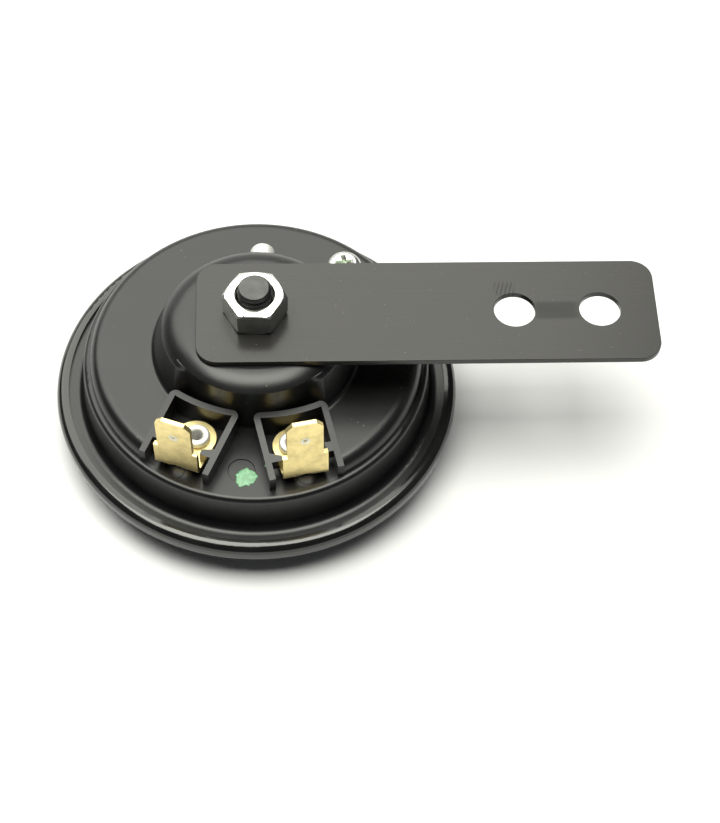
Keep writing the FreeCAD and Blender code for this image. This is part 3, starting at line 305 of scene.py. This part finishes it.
def moulded_plastic(colour):
    """Black glass-filled moulding: fine even grain, faint flow clouds, settled dust."""
    made = Finish("moulded_plastic", colour[:3], 0.25, Specular_IOR_Level=0.53)
    grain = made.noise(9.0, 4.0, 0.6)
    cloud = made.noise(0.12, 3.0, 0.55)
    dust = made.dust(0.55, 0.11, 0.35, (0.5, 0.7))
    tone = made.blend(cloud.between(0.35, 0.7), rgba(colour, 0.8), rgba(colour, 1.3))
    made.set("Base Color", made.blend(dust * 0.35, tone, DUST))
    made.set("Roughness", 0.25 + 0.08 * cloud + 0.04 * grain + dust * 0.2)
    made.set("Normal", made.relief(grain, 0.006))
    return made.material


def coated_cover(colour):
    """Baked black enamel on spun sheet: glossy, with a little orange peel and dust."""
    made = Finish("coated_cover", colour[:3], 0.24, Coat_Weight=0.4, Coat_Roughness=0.12)
    peel = made.noise(1.6, 2.0, 0.5)
    cloud = made.noise(0.2, 3.0, 0.55)
    dust = made.dust(0.6, 0.10, 0.3, (0.5, 0.7))
    tone = made.blend(cloud.between(0.35, 0.7), rgba(colour, 0.8), rgba(colour, 1.25))
    made.set("Base Color", made.blend(dust * 0.3, tone, DUST))
    made.set("Roughness", 0.11 + 0.08 * cloud + dust * 0.2)
    made.set("Normal", made.relief(peel, 0.008))
    return made.material


def brushed_coating(colour):
    """Satin dark coating on strip brushed along X, with dust, nicks, a stain and a print."""
    made = Finish("brushed_coating", colour[:3], 0.4, Specular_IOR_Level=0.5)
    lines = made.noise(1.0, 5.0, 0.65, where=made.place((0.05, 4.0, 1.0)))
    cloud = made.noise(0.05, 3.0, 0.6)
    dust = made.dust(0.7, 0.09, 0.25, (0.45, 0.65))
    nicks = made.cells(0.16, where=made.place((1.0, 0.25, 1.0), 68.0)).between(0.05, 0.02)
    tone = made.blend(lines.between(0.3, 0.75), rgba(colour, 0.9), rgba(colour, 1.1))
    tone = made.blend(cloud.between(0.4, 0.75) * 0.4, tone, rgba(colour, 1.5))
    tone = made.blend(dust * 0.22, tone, STRAP_DUST)

    smear = made.noise(0.8, 3.0, where=made.place((0.3, 1.0, 1.0), 12.0))
    stain = made.patch((52.5, -0.2), (4.6, 2.3), (3.0, 1.3)) * (0.5 + 0.5 * smear)
    ridges = (made.axis("X", made.place(turn=15.0)) * 9.0).sine().between(-0.2, 0.8)
    finger = made.patch((43.7, 4.6), (2.2, 1.8), (1.2, 0.9)) * ridges * 0.8
    soiled = stain + finger
    tone = made.blend(soiled, tone, rgba(colour, 0.15))

    made.set("Base Color", made.blend(nicks * 0.5, tone, NICKED))
    made.set("Roughness", 0.20 + 0.03 * lines + 0.09 * cloud + dust * 0.15 + soiled * 0.3)
    made.set("Normal", made.relief(lines, 0.004))
    return made.material


def plated_metal(name, colour, roughness):
    """Plated or plain metal with fine handling marks and slight tarnish."""
    made = Finish(name, colour[:3], roughness, 1.0)
    marks = made.noise(2.2, 4.0, 0.6, where=made.place((1.0, 1.0, 0.3)))
    cloud = made.noise(0.5, 3.0, 0.6)
    made.set("Base Color", made.blend(cloud.between(0.3, 0.8), rgba(colour), rgba(colour, 0.72)))
    made.set("Roughness", roughness + 0.10 * marks + 0.06 * cloud)
    made.set("Normal", made.relief(marks, 0.0024))
    return made.material


def wound_copper(colour):
    """Enamelled wire wound in close turns round the Z axis, with painted shade in the grooves
    between the turns.
    """
    wire = 0.35
    made = Finish("wound_copper", colour[:3], 0.3, 0.9)
    turns = (made.axis("Z") * (2 * math.pi / wire)).sine()
    wear = made.noise(0.7, 2.0)
    # Painted shade: the colour falls to half in the grooves between the turns.
    made.set("Base Color", made.blend(turns.between(-1.0, 1.0), rgba(colour, 0.5), rgba(colour)))
    made.set("Roughness", 0.28 + 0.15 * wear)
    made.set("Normal", made.relief(turns, 0.08))
    return made.material


def sheet_fibre(name, colour):
    """Gasket paper or insulating board: matt, with short fibres."""
    made = Finish(name, colour[:3], 0.8)
    fibre = made.noise(3.5, 4.0, 0.7, where=made.place((1.0, 0.3, 1.0)))
    tone = made.blend(fibre.between(0.3, 0.7), rgba(colour, 0.75), rgba(colour, 1.2))
    made.set("Base Color", tone)
    made.set("Roughness", 0.72 + 0.2 * fibre)
    made.set("Normal", made.relief(fibre, 0.03))
    return made.material


def brushed_paint(name, colour, roughness):
    """Marking paint or locking lacquer, thick and a little uneven."""
    made = Finish(name, colour[:3], roughness)
    body = made.noise(1.2, 3.0, 0.6)
    tone = made.blend(body.between(0.3, 0.7), rgba(colour, 0.7), rgba(colour, 1.15))
    made.set("Base Color", tone)
    made.set("Roughness", roughness + 0.2 * body)
    made.set("Normal", made.relief(body, 0.05))
    return made.material


def witness_line(colour):
    """The fine ring round a mould's ejector pin mark, painted darker and duller than the
    moulding as a painted shadow in the mark's step.
    """
    made = Finish("witness_line", colour[:3], 0.7, Specular_IOR_Level=0.2)
    grain = made.noise(6.0, 3.0, 0.6)
    made.set("Base Color", made.blend(grain, rgba(colour, 0.2), rgba(colour, 0.5)))
    made.set("Roughness", 0.65 + 0.2 * grain)
    return made.material


def natural_moulding(colour):
    """The uncoloured nylon of the coil's bobbin."""
    made = Finish("natural_moulding", colour[:3], 0.4)
    cloud = made.noise(0.5, 3.0)
    made.set("Base Color", made.blend(cloud, rgba(colour, 0.85), rgba(colour, 1.05)))
    made.set("Roughness", 0.38 + 0.15 * cloud)
    return made.material


# ---------------------------------------------------------------- settings

class HornFinishes(bpy.types.PropertyGroup):
    """Colours of the horn's materials."""
    plastic: bpy.props.FloatVectorProperty(
        name="Plastic", description="Moulded rear housing", subtype="COLOR",
        default=(0.006, 0.006, 0.0066))
    cover: bpy.props.FloatVectorProperty(
        name="Cover", description="Enamelled front cover", subtype="COLOR",
        default=(0.007, 0.007, 0.0068))
    strap: bpy.props.FloatVectorProperty(
        name="Strap", description="Coating of the mounting strap", subtype="COLOR",
        default=(0.019, 0.0185, 0.0175))
    zinc: bpy.props.FloatVectorProperty(
        name="Nut", description="Zinc plating of the nut", subtype="COLOR",
        default=(0.78, 0.79, 0.75))
    stud: bpy.props.FloatVectorProperty(
        name="Stud", description="Dark steel of the stud", subtype="COLOR",
        default=(0.09, 0.09, 0.09))
    brass: bpy.props.FloatVectorProperty(
        name="Brass", description="Terminal blades", subtype="COLOR",
        default=(0.94, 0.78, 0.37))
    silver: bpy.props.FloatVectorProperty(
        name="Bright steel", description="Tone screw, sounder's stem and contact points",
        subtype="COLOR", default=(0.80, 0.80, 0.79))
    copper: bpy.props.FloatVectorProperty(
        name="Coil", description="Enamelled copper wire", subtype="COLOR",
        default=(0.62, 0.24, 0.09))
    mark: bpy.props.FloatVectorProperty(
        name="Paint mark", description="Dab of marking paint between the bays", subtype="COLOR",
        default=(0.21, 0.43, 0.25))


class HornSizes(bpy.types.PropertyGroup):
    """Sizes of the fine shapes over the horn's solids."""
    strap_edge: bpy.props.FloatProperty(
        name="Strap edge", description="Width of the strap's broken edges",
        subtype="DISTANCE", unit="LENGTH", default=0.00012, min=0.0)
    nut_edge: bpy.props.FloatProperty(
        name="Nut edge", description="Width of the nut's broken edges",
        subtype="DISTANCE", unit="LENGTH", default=0.00012, min=0.0)
    blade_edge: bpy.props.FloatProperty(
        name="Blade edge", description="Width of the terminal blades' broken edges",
        subtype="DISTANCE", unit="LENGTH", default=0.0001, min=0.0)
    thread_depth: bpy.props.FloatProperty(
        name="Thread depth", description="Depth of the thread on the stud's end",
        subtype="DISTANCE", unit="LENGTH", default=0.0006, min=0.0)
    mark_height: bpy.props.FloatProperty(
        name="Paint height", description="Height of the dab of marking paint",
        subtype="DISTANCE", unit="LENGTH", default=0.00022, min=0.0)


class HornStage(bpy.types.PropertyGroup):
    """Where the camera stands, and how bright the light is."""
    lens: bpy.props.FloatProperty(
        name="Lens", description="Focal length on a 36 mm long side, in millimetres",
        unit="CAMERA", default=88.83, min=20.0, max=300.0)
    roll: bpy.props.FloatProperty(
        name="Roll", description="Turn of the camera about its view", subtype="ANGLE",
        default=math.radians(2.527))
    camera_place: bpy.props.FloatVectorProperty(
        name="Camera", description="Where the camera stands", subtype="TRANSLATION",
        unit="LENGTH", default=(0.004430, -0.216578, 0.308682))
    camera_target: bpy.props.FloatVectorProperty(
        name="Target", description="Point in the middle of the view", subtype="TRANSLATION",
        unit="LENGTH", default=(0.017572, -0.021354, 0.0287))
    back: bpy.props.FloatProperty(
        name="Back lamp", description="Power of the large lamp behind", unit="POWER",
        default=8.7, min=0.0)
    top: bpy.props.FloatProperty(
        name="Top lamp", description="Power of the lamp overhead", unit="POWER",
        default=8.2, min=0.0)
    low: bpy.props.FloatProperty(
        name="Low lamp", description="Power of the lamp low behind", unit="POWER",
        default=1.4, min=0.0)
    fill: bpy.props.FloatProperty(
        name="World", description="Strength of the even light from all round",
        default=0.07, min=0.0)


# ---------------------------------------------------------------- shapes

def link(name, mesh):
    """A new object of the scene that shows a mesh."""
    obj = bpy.data.objects.new(name, mesh)
    bpy.context.scene.collection.objects.link(obj)
    return obj


def from_form(name, form):
    """A new object of the scene made from a bmesh, which is freed."""
    mesh = bpy.data.meshes.new(name)
    form.to_mesh(mesh)
    form.free()
    return link(name, mesh)


def settle(name, obj, material, body, replaced=()):
    """Bakes an object's modifiers into a new piece, which rides on a body where one is given."""
    graph = bpy.context.evaluated_depsgraph_get()
    mesh = bpy.data.meshes.new_from_object(obj.evaluated_get(graph), depsgraph=graph)
    bpy.data.objects.remove(obj)
    mesh.materials.clear()
    mesh.materials.append(material)
    made = link(name, mesh)
    if body:
        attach(made, body)
    if replaced:
        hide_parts(*replaced)
    return made


def merged_copy(name):
    """A solid's triangles in their place, with the corners they share made one."""
    node = frame["nodes"][name]
    form = bmesh.new()
    form.from_mesh(node.data)
    form.transform(node.matrix_world)
    bmesh.ops.remove_doubles(form, verts=form.verts, dist=MERGE_GAP * MM)
    return form


def even_shading(obj, weight, keep_sharp=False):
    """Shades an object by its large faces."""
    even = obj.modifiers.new("even_shading", "WEIGHTED_NORMAL")
    even.weight = weight
    even.keep_sharp = keep_sharp


def softened(name, material, width):
    """A solid's merged copy with its sharp edges broken, standing in for the solid."""
    form = merged_copy(name)
    bmesh.ops.dissolve_limit(form, angle_limit=math.radians(FLAT_ANGLE), verts=form.verts,
                             edges=form.edges, delimit={"NORMAL"})
    for face in form.faces:
        face.smooth = True
    obj = from_form(name + "_finish", form)
    bevel = obj.modifiers.new("broken_edges", "BEVEL")
    bevel.width = width
    bevel.segments = 2
    bevel.limit_method = "ANGLE"
    bevel.angle_limit = math.radians(SHARP_ANGLE)
    even_shading(obj, 100, keep_sharp=True)
    settle(name + "_look", obj, material, BODY_OF_NODE[name], [name])


def skin(form, rings, smooth=True, joined=False):
    """Skins rings of points into a solid: the last joins the first, or both ends are flat."""
    rows = [[form.verts.new([c * MM for c in point]) for point in ring] for ring in rings]
    for low, high in zip(rows, rows[1:] + rows[:1] if joined else rows[1:]):
        for k in range(len(low)):
            after = (k + 1) % len(low)
            face = form.faces.new((low[k], low[after], high[after], high[k]))
            face.smooth = smooth
    if not joined:
        form.faces.new(list(reversed(rows[0])))
        form.faces.new(rows[-1])


def skinned(name, rings, outward=False, **kind):
    """An object skinned from rings, its faces turned outward where they may not be."""
    form = bmesh.new()
    skin(form, rings, **kind)
    if outward:
        bmesh.ops.recalc_face_normals(form, faces=form.faces)
    return from_form(name + "_form", form)


def thread_rings(depth, low, high):
    """Rings of a rod along Z with a V thread cut in it and a chamfered end."""
    around = 72
    per_turn = 12
    rows = int((high - low) / THREAD_PITCH * per_turn) + 1
    rings = []
    for row in range(rows):
        z = low + (high - low) * row / (rows - 1)
        ring = []
        for k in range(around):
            phase = (z / THREAD_PITCH - k / around) % 1.0
            groove = depth * (1.0 - abs(2.0 * phase - 1.0))
            reach = min(THREAD_R - groove, THREAD_R - THREAD_CHAMFER + high - z)
            angle = 2 * math.pi * k / around
            ring.append((reach * math.cos(angle), reach * math.sin(angle), z))
        rings.append(ring)
    return rings


def threaded_stud(name, material, depth, seat):
    """The stud's merged copy, its end above the seat cut as a thread."""
    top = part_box(name)[1][2] / MM
    form = merged_copy(name)
    every = form.verts[:] + form.edges[:] + form.faces[:]
    cut = bmesh.ops.bisect_plane(form, geom=every, plane_co=(0, 0, seat * MM),
                                 plane_no=(0, 0, 1), clear_outer=True)
    rim = [edge for edge in cut["geom_cut"] if isinstance(edge, bmesh.types.BMEdge)]
    bmesh.ops.edgeloop_fill(form, edges=rim)
    skin(form, thread_rings(depth, seat, top))
    obj = from_form(name + "_finish", form)
    settle(name + "_look", obj, material, BODY_OF_NODE[name], [name])


def dab(name, material, body, place, reach, height, waves):
    """A flattened drop of paint with an uneven edge, lying on a level face."""
    around = 96
    rows = 9
    crown = 0.08        # the flat on top, as a part of the reach
    sunk = 0.02         # how far the drop's edge goes into the face
    ripples = 7
    ripple = 0.12       # as a part of the height
    rings = []
    for row in range(rows + 1):
        inward = row / rows
        ring = []
        for k in range(around):
            angle = 2 * math.pi * k / around
            edge = 1.0 + sum(a * math.sin(n * angle + p) for n, a, p in waves)
            part = (1.0 - inward) * edge + inward * crown
            lift = height * (1.0 - (1.0 - inward) ** 5)
            lift += ripple * height * math.sin(ripples * angle + 3 * inward) * (1.0 - inward)
            ring.append((place[0] + reach[0] * part * math.cos(angle),
                         place[1] + reach[1] * part * math.sin(angle),
                         place[2] - sunk + (lift if row else 0.0)))
        rings.append(ring)
    settle(name, skinned(name, rings), material, body)


def cross_filling(name, material, body, place, reach, half, heights, turn):
    """Lacquer lying in the cross recess of a screw's head."""
    corners = [(reach, -half), (reach, half), (half, half), (half, reach), (-half, reach),
               (-half, half), (-reach, half), (-reach, -half), (-half, -half),
               (-half, -reach), (half, -reach), (half, -half)]
    c = math.cos(math.radians(turn))
    s = math.sin(math.radians(turn))
    rings = [[(place[0] + c * x - s * y, place[1] + s * x + c * y, z) for x, y in corners]
             for z in heights]
    obj = skinned(name, rings, smooth=False)
    bevel = obj.modifiers.new("rounded", "BEVEL")
    bevel.width = LACQUER_EDGE * MM
    bevel.segments = 2
    settle(name, obj, material, body)


def ring_tree(name):
    """Geometry Nodes that stand a fine ring on each point of a mesh, and their inputs."""
    tree = bpy.data.node_groups.new(name, "GeometryNodeTree")
    inputs = {}
    for label, kind in (("Points", "NodeSocketGeometry"), ("Radius", "NodeSocketFloat"),
                        ("Line", "NodeSocketFloat"), ("Finish", "NodeSocketMaterial")):
        socket = tree.interface.new_socket(label, in_out="INPUT", socket_type=kind)
        inputs[label] = socket.identifier
    tree.interface.new_socket("Rings", in_out="OUTPUT", socket_type="NodeSocketGeometry")
    rule = Wiring(tree)

    def given(label):
        return rule.node("NodeGroupInput", output=label)

    circle = rule.node("GeometryNodeCurvePrimitiveCircle", None,
                       {"Resolution": 64, "Radius": given("Radius")})
    section = rule.node("GeometryNodeCurvePrimitiveCircle", None,
                        {"Resolution": 8, "Radius": given("Line")})
    ring = rule.node("GeometryNodeCurveToMesh", None,
                     {"Curve": circle, "Profile Curve": section})
    copies = rule.node("GeometryNodeInstanceOnPoints", None,
                       {"Points": given("Points"), "Instance": ring})
    real = rule.node("GeometryNodeRealizeInstances", None, {"Geometry": copies})
    finished = rule.node("GeometryNodeSetMaterial", None,
                         {"Geometry": real, "Material": given("Finish")})
    rule.node("NodeGroupOutput", None, {"Rings": finished})
    return tree, inputs


def fine_rings(name, material, body, places, radius, line):
    """Fine raised rings of one radius, each centred on a place."""
    mesh = bpy.data.meshes.new(name + "_places")
    mesh.from_pydata([[c * MM for c in place] for place in places], [], [])
    obj = link(name + "_places", mesh)
    tree, inputs = ring_tree(name + "_rule")
    rule = obj.modifiers.new("rings", "NODES")
    rule.node_group = tree
    rule[inputs["Radius"]] = radius * MM
    rule[inputs["Line"]] = line * MM
    rule[inputs["Finish"]] = material
    settle(name, obj, material, body)


def diaphragm_sector(name, material, first, last):
    """One sector of the sprung diaphragm, between its clamp and the sounder."""
    steps = 8
    rings = []
    for r, z in DIAPHRAGM_OUTLINE:
        arc = []
        for k in range(steps + 1):
            angle = first + (last - first) * k / steps
            arc.append((r * math.cos(angle), r * math.sin(angle)))
        upper = [(x, y, z + DIAPHRAGM_WALL) for x, y in arc]
        rings.append(upper + [(x, y, z) for x, y in reversed(arc)])
    obj = skinned(name, rings, outward=True, smooth=False)
    made = settle(name, obj, material, None, ["diaphragm"])
    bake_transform(made)


def latch_dish(name, material, body, axis, outward, hand, lean):
    """The pressed dish in a blade's face that a receptacle's spring latches in."""
    around = 48
    out = Vector((*outward, 0.0))
    side = Vector((-outward[1], outward[0], 0.0)) * hand
    upright = Vector((0, 0, 1))
    tilt = math.radians(lean)
    up = upright * math.cos(tilt) + out * math.sin(tilt)
    normal = out * math.cos(tilt) - upright * math.sin(tilt)
    middle = Vector((*axis, LATCH_HEIGHT)) + side * LATCH_SHIFT
    middle += out * (BLADE_REACH + math.tan(tilt) * (LATCH_HEIGHT - BEND_HEIGHT))
    rings = []
    for r, height in LATCH_OUTLINE:
        ring = []
        for k in range(around):
            angle = 2 * math.pi * k / around
            point = middle + side * (r * math.cos(angle))
            point += up * (LATCH_SQUASH * r * math.sin(angle))
            ring.append(tuple(point + normal * height))
        rings.append(ring)
    obj = skinned(name, rings, outward=True, joined=True)
    settle(name, obj, material, body)


def flank_reach(z):
    """The dome's radius at a height over its foot, flank and shoulder."""
    if z < FOOT[1]:
        return FOOT[0] - math.sqrt(max(FOOT[2] ** 2 - (FOOT[1] - z) ** 2, 0.0))
    if z < FLANK_TOP[1]:
        low = FOOT[0] - FOOT[2]
        return low + (FLANK_TOP[0] - low) * (z - FOOT[1]) / (FLANK_TOP[1] - FOOT[1])
    return SHOULDER[0] + math.sqrt(SHOULDER[2] ** 2 - (z - SHOULDER[1]) ** 2)


def flank_blend(name, material, body, side):
    """Carries the dome's flank round into the cut front sector, over the bay's far corner."""
    levels, steps, back_steps = 24, 12, 5
    sunk = 0.015            # under the flank that it starts from
    past_side = 0.01        # from the cut's side to its first edge, in radians
    bay = math.radians(BAY_TURN)
    sector = math.radians(SECTOR_TURN)
    end = math.radians(22.0)
    front = SECTOR_WALL_R - 0.02        # where it runs out, just inside the wall
    rear = SECTOR_WALL_R - 0.35
    back = math.asin(BAY_SIDE / SECTOR_WALL_R) + 2 * past_side

    def spot(r, angle, z):
        """A point at a radius and an angle from the bay's centre line."""
        across = r * math.sin(angle)
        out = r * math.cos(angle)
        x = side * (across * math.cos(bay) + out * math.sin(bay))
        y = across * math.sin(bay) - out * math.cos(bay)
        return (x * math.cos(sector) - y * math.sin(sector),
                x * math.sin(sector) + y * math.cos(sector), z)

    rings = []
    for level in range(levels + 1):
        z = BLEND_HEIGHTS[0] + (BLEND_HEIGHTS[1] - BLEND_HEIGHTS[0]) * level / levels
        full = flank_reach(z) - sunk
        start = math.asin(BAY_SIDE / full) + past_side
        ring = []
        for step in range(steps + 1):
            t = step / steps
            ease = t * t * (3 - 2 * t)
            ring.append(spot(full + (front - full) * ease, start + (end - start) * t, z))
        for step in range(back_steps + 1):
            ring.append(spot(rear, end + (back - end) * step / back_steps, z))
        rings.append(ring)
    obj = skinned(name, rings, outward=True)
    even_shading(obj, 60)
    settle(name, obj, material, body)


# ---------------------------------------------------------------- operators

def paint(material, *names):
    """Gives solids of the frame their finish."""
    for name in names:
        node = frame["nodes"][name]
        node.data.materials.clear()
        node.data.materials.append(material)
        for slot in node.material_slots:
            slot.material = material


class HORN_OT_housing(bpy.types.Operator):
    """Finish the moulded housing and the enamelled cover"""
    bl_idname = "horn.housing"
    bl_label = "Housing and cover"

    def execute(self, context):
        colours = context.scene.horn_finishes
        body = BODY_OF_NODE["rear_housing"]
        plastic = moulded_plastic(colours.plastic)
        paint(plastic, "rear_housing")
        paint(coated_cover(colours.cover), "front_cover")
        for tag, side in (("left", -1), ("right", 1)):
            flank_blend("flank_blend_" + tag, plastic, body, side)
        # The rings at the pin marks are painted dark and dull as the shadow in each mark's step.
        line = witness_line(colours.plastic)
        fine_rings("bay_pin_lines", line, body, BAY_PINS, radius=1.7, line=0.05)
        fine_rings("ledge_pin_line", line, body, (LEDGE_PIN,), radius=2.36, line=0.07)
        return {"FINISHED"}


class HORN_OT_strap(bpy.types.Operator):
    """Finish the mounting strap, its nut and the threaded stud"""
    bl_idname = "horn.strap"
    bl_label = "Strap, nut and stud"

    def execute(self, context):
        colours = context.scene.horn_finishes
        sizes = context.scene.horn_sizes
        softened("mounting_strap", brushed_coating(colours.strap), sizes.strap_edge)
        softened("strap_nut", plated_metal("zinc_plating", colours.zinc, 0.11),
                 sizes.nut_edge)
        stud = plated_metal("stud_steel", colours.stud, 0.3)
        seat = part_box("mounting_strap")[1][2] / MM + THREAD_START
        threaded_stud("stud_core", stud, sizes.thread_depth / MM, seat)
        return {"FINISHED"}


class HORN_OT_terminals(bpy.types.Operator):
    """Finish the two brass blades, their latch dishes and rivets"""
    bl_idname = "horn.terminals"
    bl_label = "Terminals"

    def execute(self, context):
        brass = plated_metal("terminal_brass", context.scene.horn_finishes.brass, 0.24)
        # The latch dishes' paler brass is a painted highlight.
        glint_brass = plated_metal("worn_brass", LATCH_GLINT_BRASS, 0.45)
        tinned = plated_metal("tinned_brass", TINNED_BRASS, 0.6)
        for name in ("terminal_left", "terminal_right"):
            softened(name, brass, context.scene.horn_sizes.blade_edge)
        for tag, blade in BLADES.items():
            latch_dish("latch_dish_" + tag, glint_brass, BODY_OF_NODE["terminal_" + tag], *blade)
        paint(tinned, "contact_rivet", "terminal_rivet_left", "terminal_rivet_right")
        return {"FINISHED"}


class HORN_OT_sounder(bpy.types.Operator):
    """Finish the moving sounder and make the diaphragm"""
    bl_idname = "horn.sounder"
    bl_label = "Sounder and diaphragm"

    def execute(self, context):
        steel = plated_metal("magnet_steel", MAGNET_STEEL, 0.32)
        spring = plated_metal("spring_steel", SPRING_STEEL, 0.25)
        rivet = plated_metal("rivet_steel", context.scene.horn_finishes.silver, 0.22)
        paint(steel, "yoke", "armature", "sounder_washer", "sounder_spacer")
        paint(rivet, "sounder_stem", "fixed_contact_point", "moving_contact_point",
              "tone_screw")
        paint(spring, "tone_disc")
        for k in range(SECTORS):
            diaphragm_sector("diaphragm_%02d" % (k + 1), spring,
                             2 * math.pi * k / SECTORS, 2 * math.pi * (k + 1) / SECTORS)
        return {"FINISHED"}


class HORN_OT_inside(bpy.types.Operator):
    """Finish the coil, the contact breaker and the gaskets"""
    bl_idname = "horn.inside"
    bl_label = "Coil, breaker and gaskets"

    def execute(self, context):
        board = sheet_fibre("insulator_board", INSULATOR_BOARD)
        paper = sheet_fibre("gasket_paper", GASKET_PAPER)
        contact = plated_metal("contact_brass", CONTACT_BRASS, 0.3)
        paint(natural_moulding(BOBBIN_NYLON), "coil_bobbin")
        paint(wound_copper(context.scene.horn_finishes.copper), "coil_winding")
        paint(paper, "front_gasket", "rear_gasket")
        paint(board, "insulator_upper", "insulator_middle", "insulator_lower",
              "contact_pusher")
        paint(contact, "fixed_contact_arm", "moving_contact_arm", "screw_insert")
        return {"FINISHED"}


class HORN_OT_marks(bpy.types.Operator):
    """Add the paint mark between the bays and the lacquer in the tone screw"""
    bl_idname = "horn.marks"
    bl_label = "Paint marks"

    def execute(self, context):
        housing = BODY_OF_NODE["rear_housing"]
        marking = brushed_paint("marking_paint", context.scene.horn_finishes.mark, 0.35)
        height = context.scene.horn_sizes.mark_height / MM
        dab("paint_mark", marking, housing, place=(-1.85, -25.95, 15.8), reach=(1.85, 1.95),
            height=height, waves=MARK_WAVES)
        dab("paint_fleck", marking, housing, place=(1.63, -25.4, 18.8), reach=(0.2, 0.34),
            height=0.08, waves=FLECK_WAVES)
        lacquer = brushed_paint("locking_lacquer", LOCKING_LACQUER, 0.3)
        cross_filling("screw_lacquer", lacquer, BODY_OF_NODE["tone_screw"],
                      place=(16.149, 17.483), reach=1.3, half=0.3, heights=(19.55, 19.85),
                      turn=8.0)
        return {"FINISHED"}


class HORN_OT_stage(bpy.types.Operator):
    """Make the pale floor, the soft lights and the camera"""
    bl_idname = "horn.stage"
    bl_label = "Stage"

    def execute(self, context):
        stage = context.scene.horn_stage
        self.floor()
        self.world(context.scene, stage.fill)
        for name, (place, target, width, height) in LAMPS.items():
            self.lamp(name, Vector(place), Vector(target), width, height,
                      getattr(stage, name))
        self.camera(context.scene, stage)
        context.scene.view_settings.view_transform = "Standard"
        return {"FINISHED"}

    def floor(self):
        mesh = bpy.data.meshes.new("floor")
        corners = [(x * FLOOR_REACH, y * FLOOR_REACH, FLOOR_LEVEL)
                   for x, y in ((-1, -1), (1, -1), (1, 1), (-1, 1))]
        mesh.from_pydata(corners, [], [(0, 1, 2, 3)])
        floor = link("floor", mesh)
        material = bpy.data.materials.new("pale_floor")
        material.use_nodes = True
        wiring = Wiring(material.node_tree)
        usual, mirrored = (wiring.node("ShaderNodeBsdfDiffuse", None, {"Color": colour})
                           for colour in (FLOOR_COLOUR, FLOOR_MIRRORED))
        surface = wiring.by_ray("Is Glossy Ray", usual, mirrored)
        wiring.node("ShaderNodeOutputMaterial", None, {"Surface": surface})
        mesh.materials.append(material)

    def world(self, scene, fill):
        """Even light from all round, which the camera sees as white."""
        world = bpy.data.worlds.new("studio")
        world.use_nodes = True
        wiring = Wiring(world.node_tree)
        light, seen = (wiring.node("ShaderNodeBackground", None,
                                   {"Color": colour, "Strength": strength})
                       for colour, strength in ((FILL_COLOUR, fill), (WHITE, 1.0)))
        surface = wiring.by_ray("Is Camera Ray", light, seen)
        wiring.node("ShaderNodeOutputWorld", None, {"Surface": surface})
        scene.world = world

    def lamp(self, name, place, target, width, height, power):
        """A soft rectangular lamp that faces a target."""
        data = bpy.data.lights.new(name, "AREA")
        data.shape = "RECTANGLE"
        data.size = width
        data.size_y = height
        data.energy = power
        data.color = LAMP_COLOUR
        lamp = link(name, data)
        lamp.location = place
        lamp.rotation_mode = "QUATERNION"
        lamp.rotation_quaternion = (target - place).to_track_quat("-Z", "Y")

    def camera(self, scene, stage):
        """A camera that looks at its target, rolled about its view."""
        place = Vector(stage.camera_place)
        forward = (Vector(stage.camera_target) - place).normalized()
        right = forward.cross(Vector((0, 0, 1))).normalized()
        up = right.cross(forward)
        c = math.cos(stage.roll)
        s = math.sin(stage.roll)
        turn = Matrix((c * right + s * up, c * up - s * right, -forward)).transposed()
        data = bpy.data.cameras.new("camera")
        data.lens = stage.lens
        data.sensor_width = SENSOR
        data.clip_start, data.clip_end = CLIP
        camera = link("camera", data)
        camera.matrix_world = Matrix.Translation(place) @ turn.to_4x4()
        scene.camera = camera


class HORN_PT_panel(bpy.types.Panel):
    """Lists the horn's settings and its build steps"""
    bl_idname = "HORN_PT_panel"
    bl_label = "Disc Horn"
    bl_space_type = "VIEW_3D"
    bl_region_type = "UI"
    bl_category = "Horn"

    def draw(self, context):
        scene = context.scene
        for group in (scene.horn_finishes, scene.horn_sizes, scene.horn_stage):
            box = self.layout.box()
            for name in group.bl_rna.properties.keys():
                if name not in ("rna_type", "name"):
                    box.prop(group, name)
        for step in STEPS:
            self.layout.operator(step.bl_idname)


STEPS = (HORN_OT_housing, HORN_OT_strap, HORN_OT_terminals, HORN_OT_sounder,
         HORN_OT_inside, HORN_OT_marks, HORN_OT_stage)
GROUPS = {"horn_finishes": HornFinishes, "horn_sizes": HornSizes, "horn_stage": HornStage}
CLASSES = (*GROUPS.values(), *STEPS, HORN_PT_panel)


def register():
    for cls in CLASSES:
        bpy.utils.register_class(cls)
    for name, group in GROUPS.items():
        setattr(bpy.types.Scene, name, bpy.props.PointerProperty(type=group))


def unregister():
    for name in GROUPS:
        delattr(bpy.types.Scene, name)
    for cls in reversed(CLASSES):
        bpy.utils.unregister_class(cls)


def main():
    register()
    bpy.ops.horn.housing()
    bpy.ops.horn.strap()
    bpy.ops.horn.terminals()
    bpy.ops.horn.sounder()
    bpy.ops.horn.inside()
    bpy.ops.horn.marks()
    bpy.ops.horn.stage()


if __name__ == "__main__":
    main()
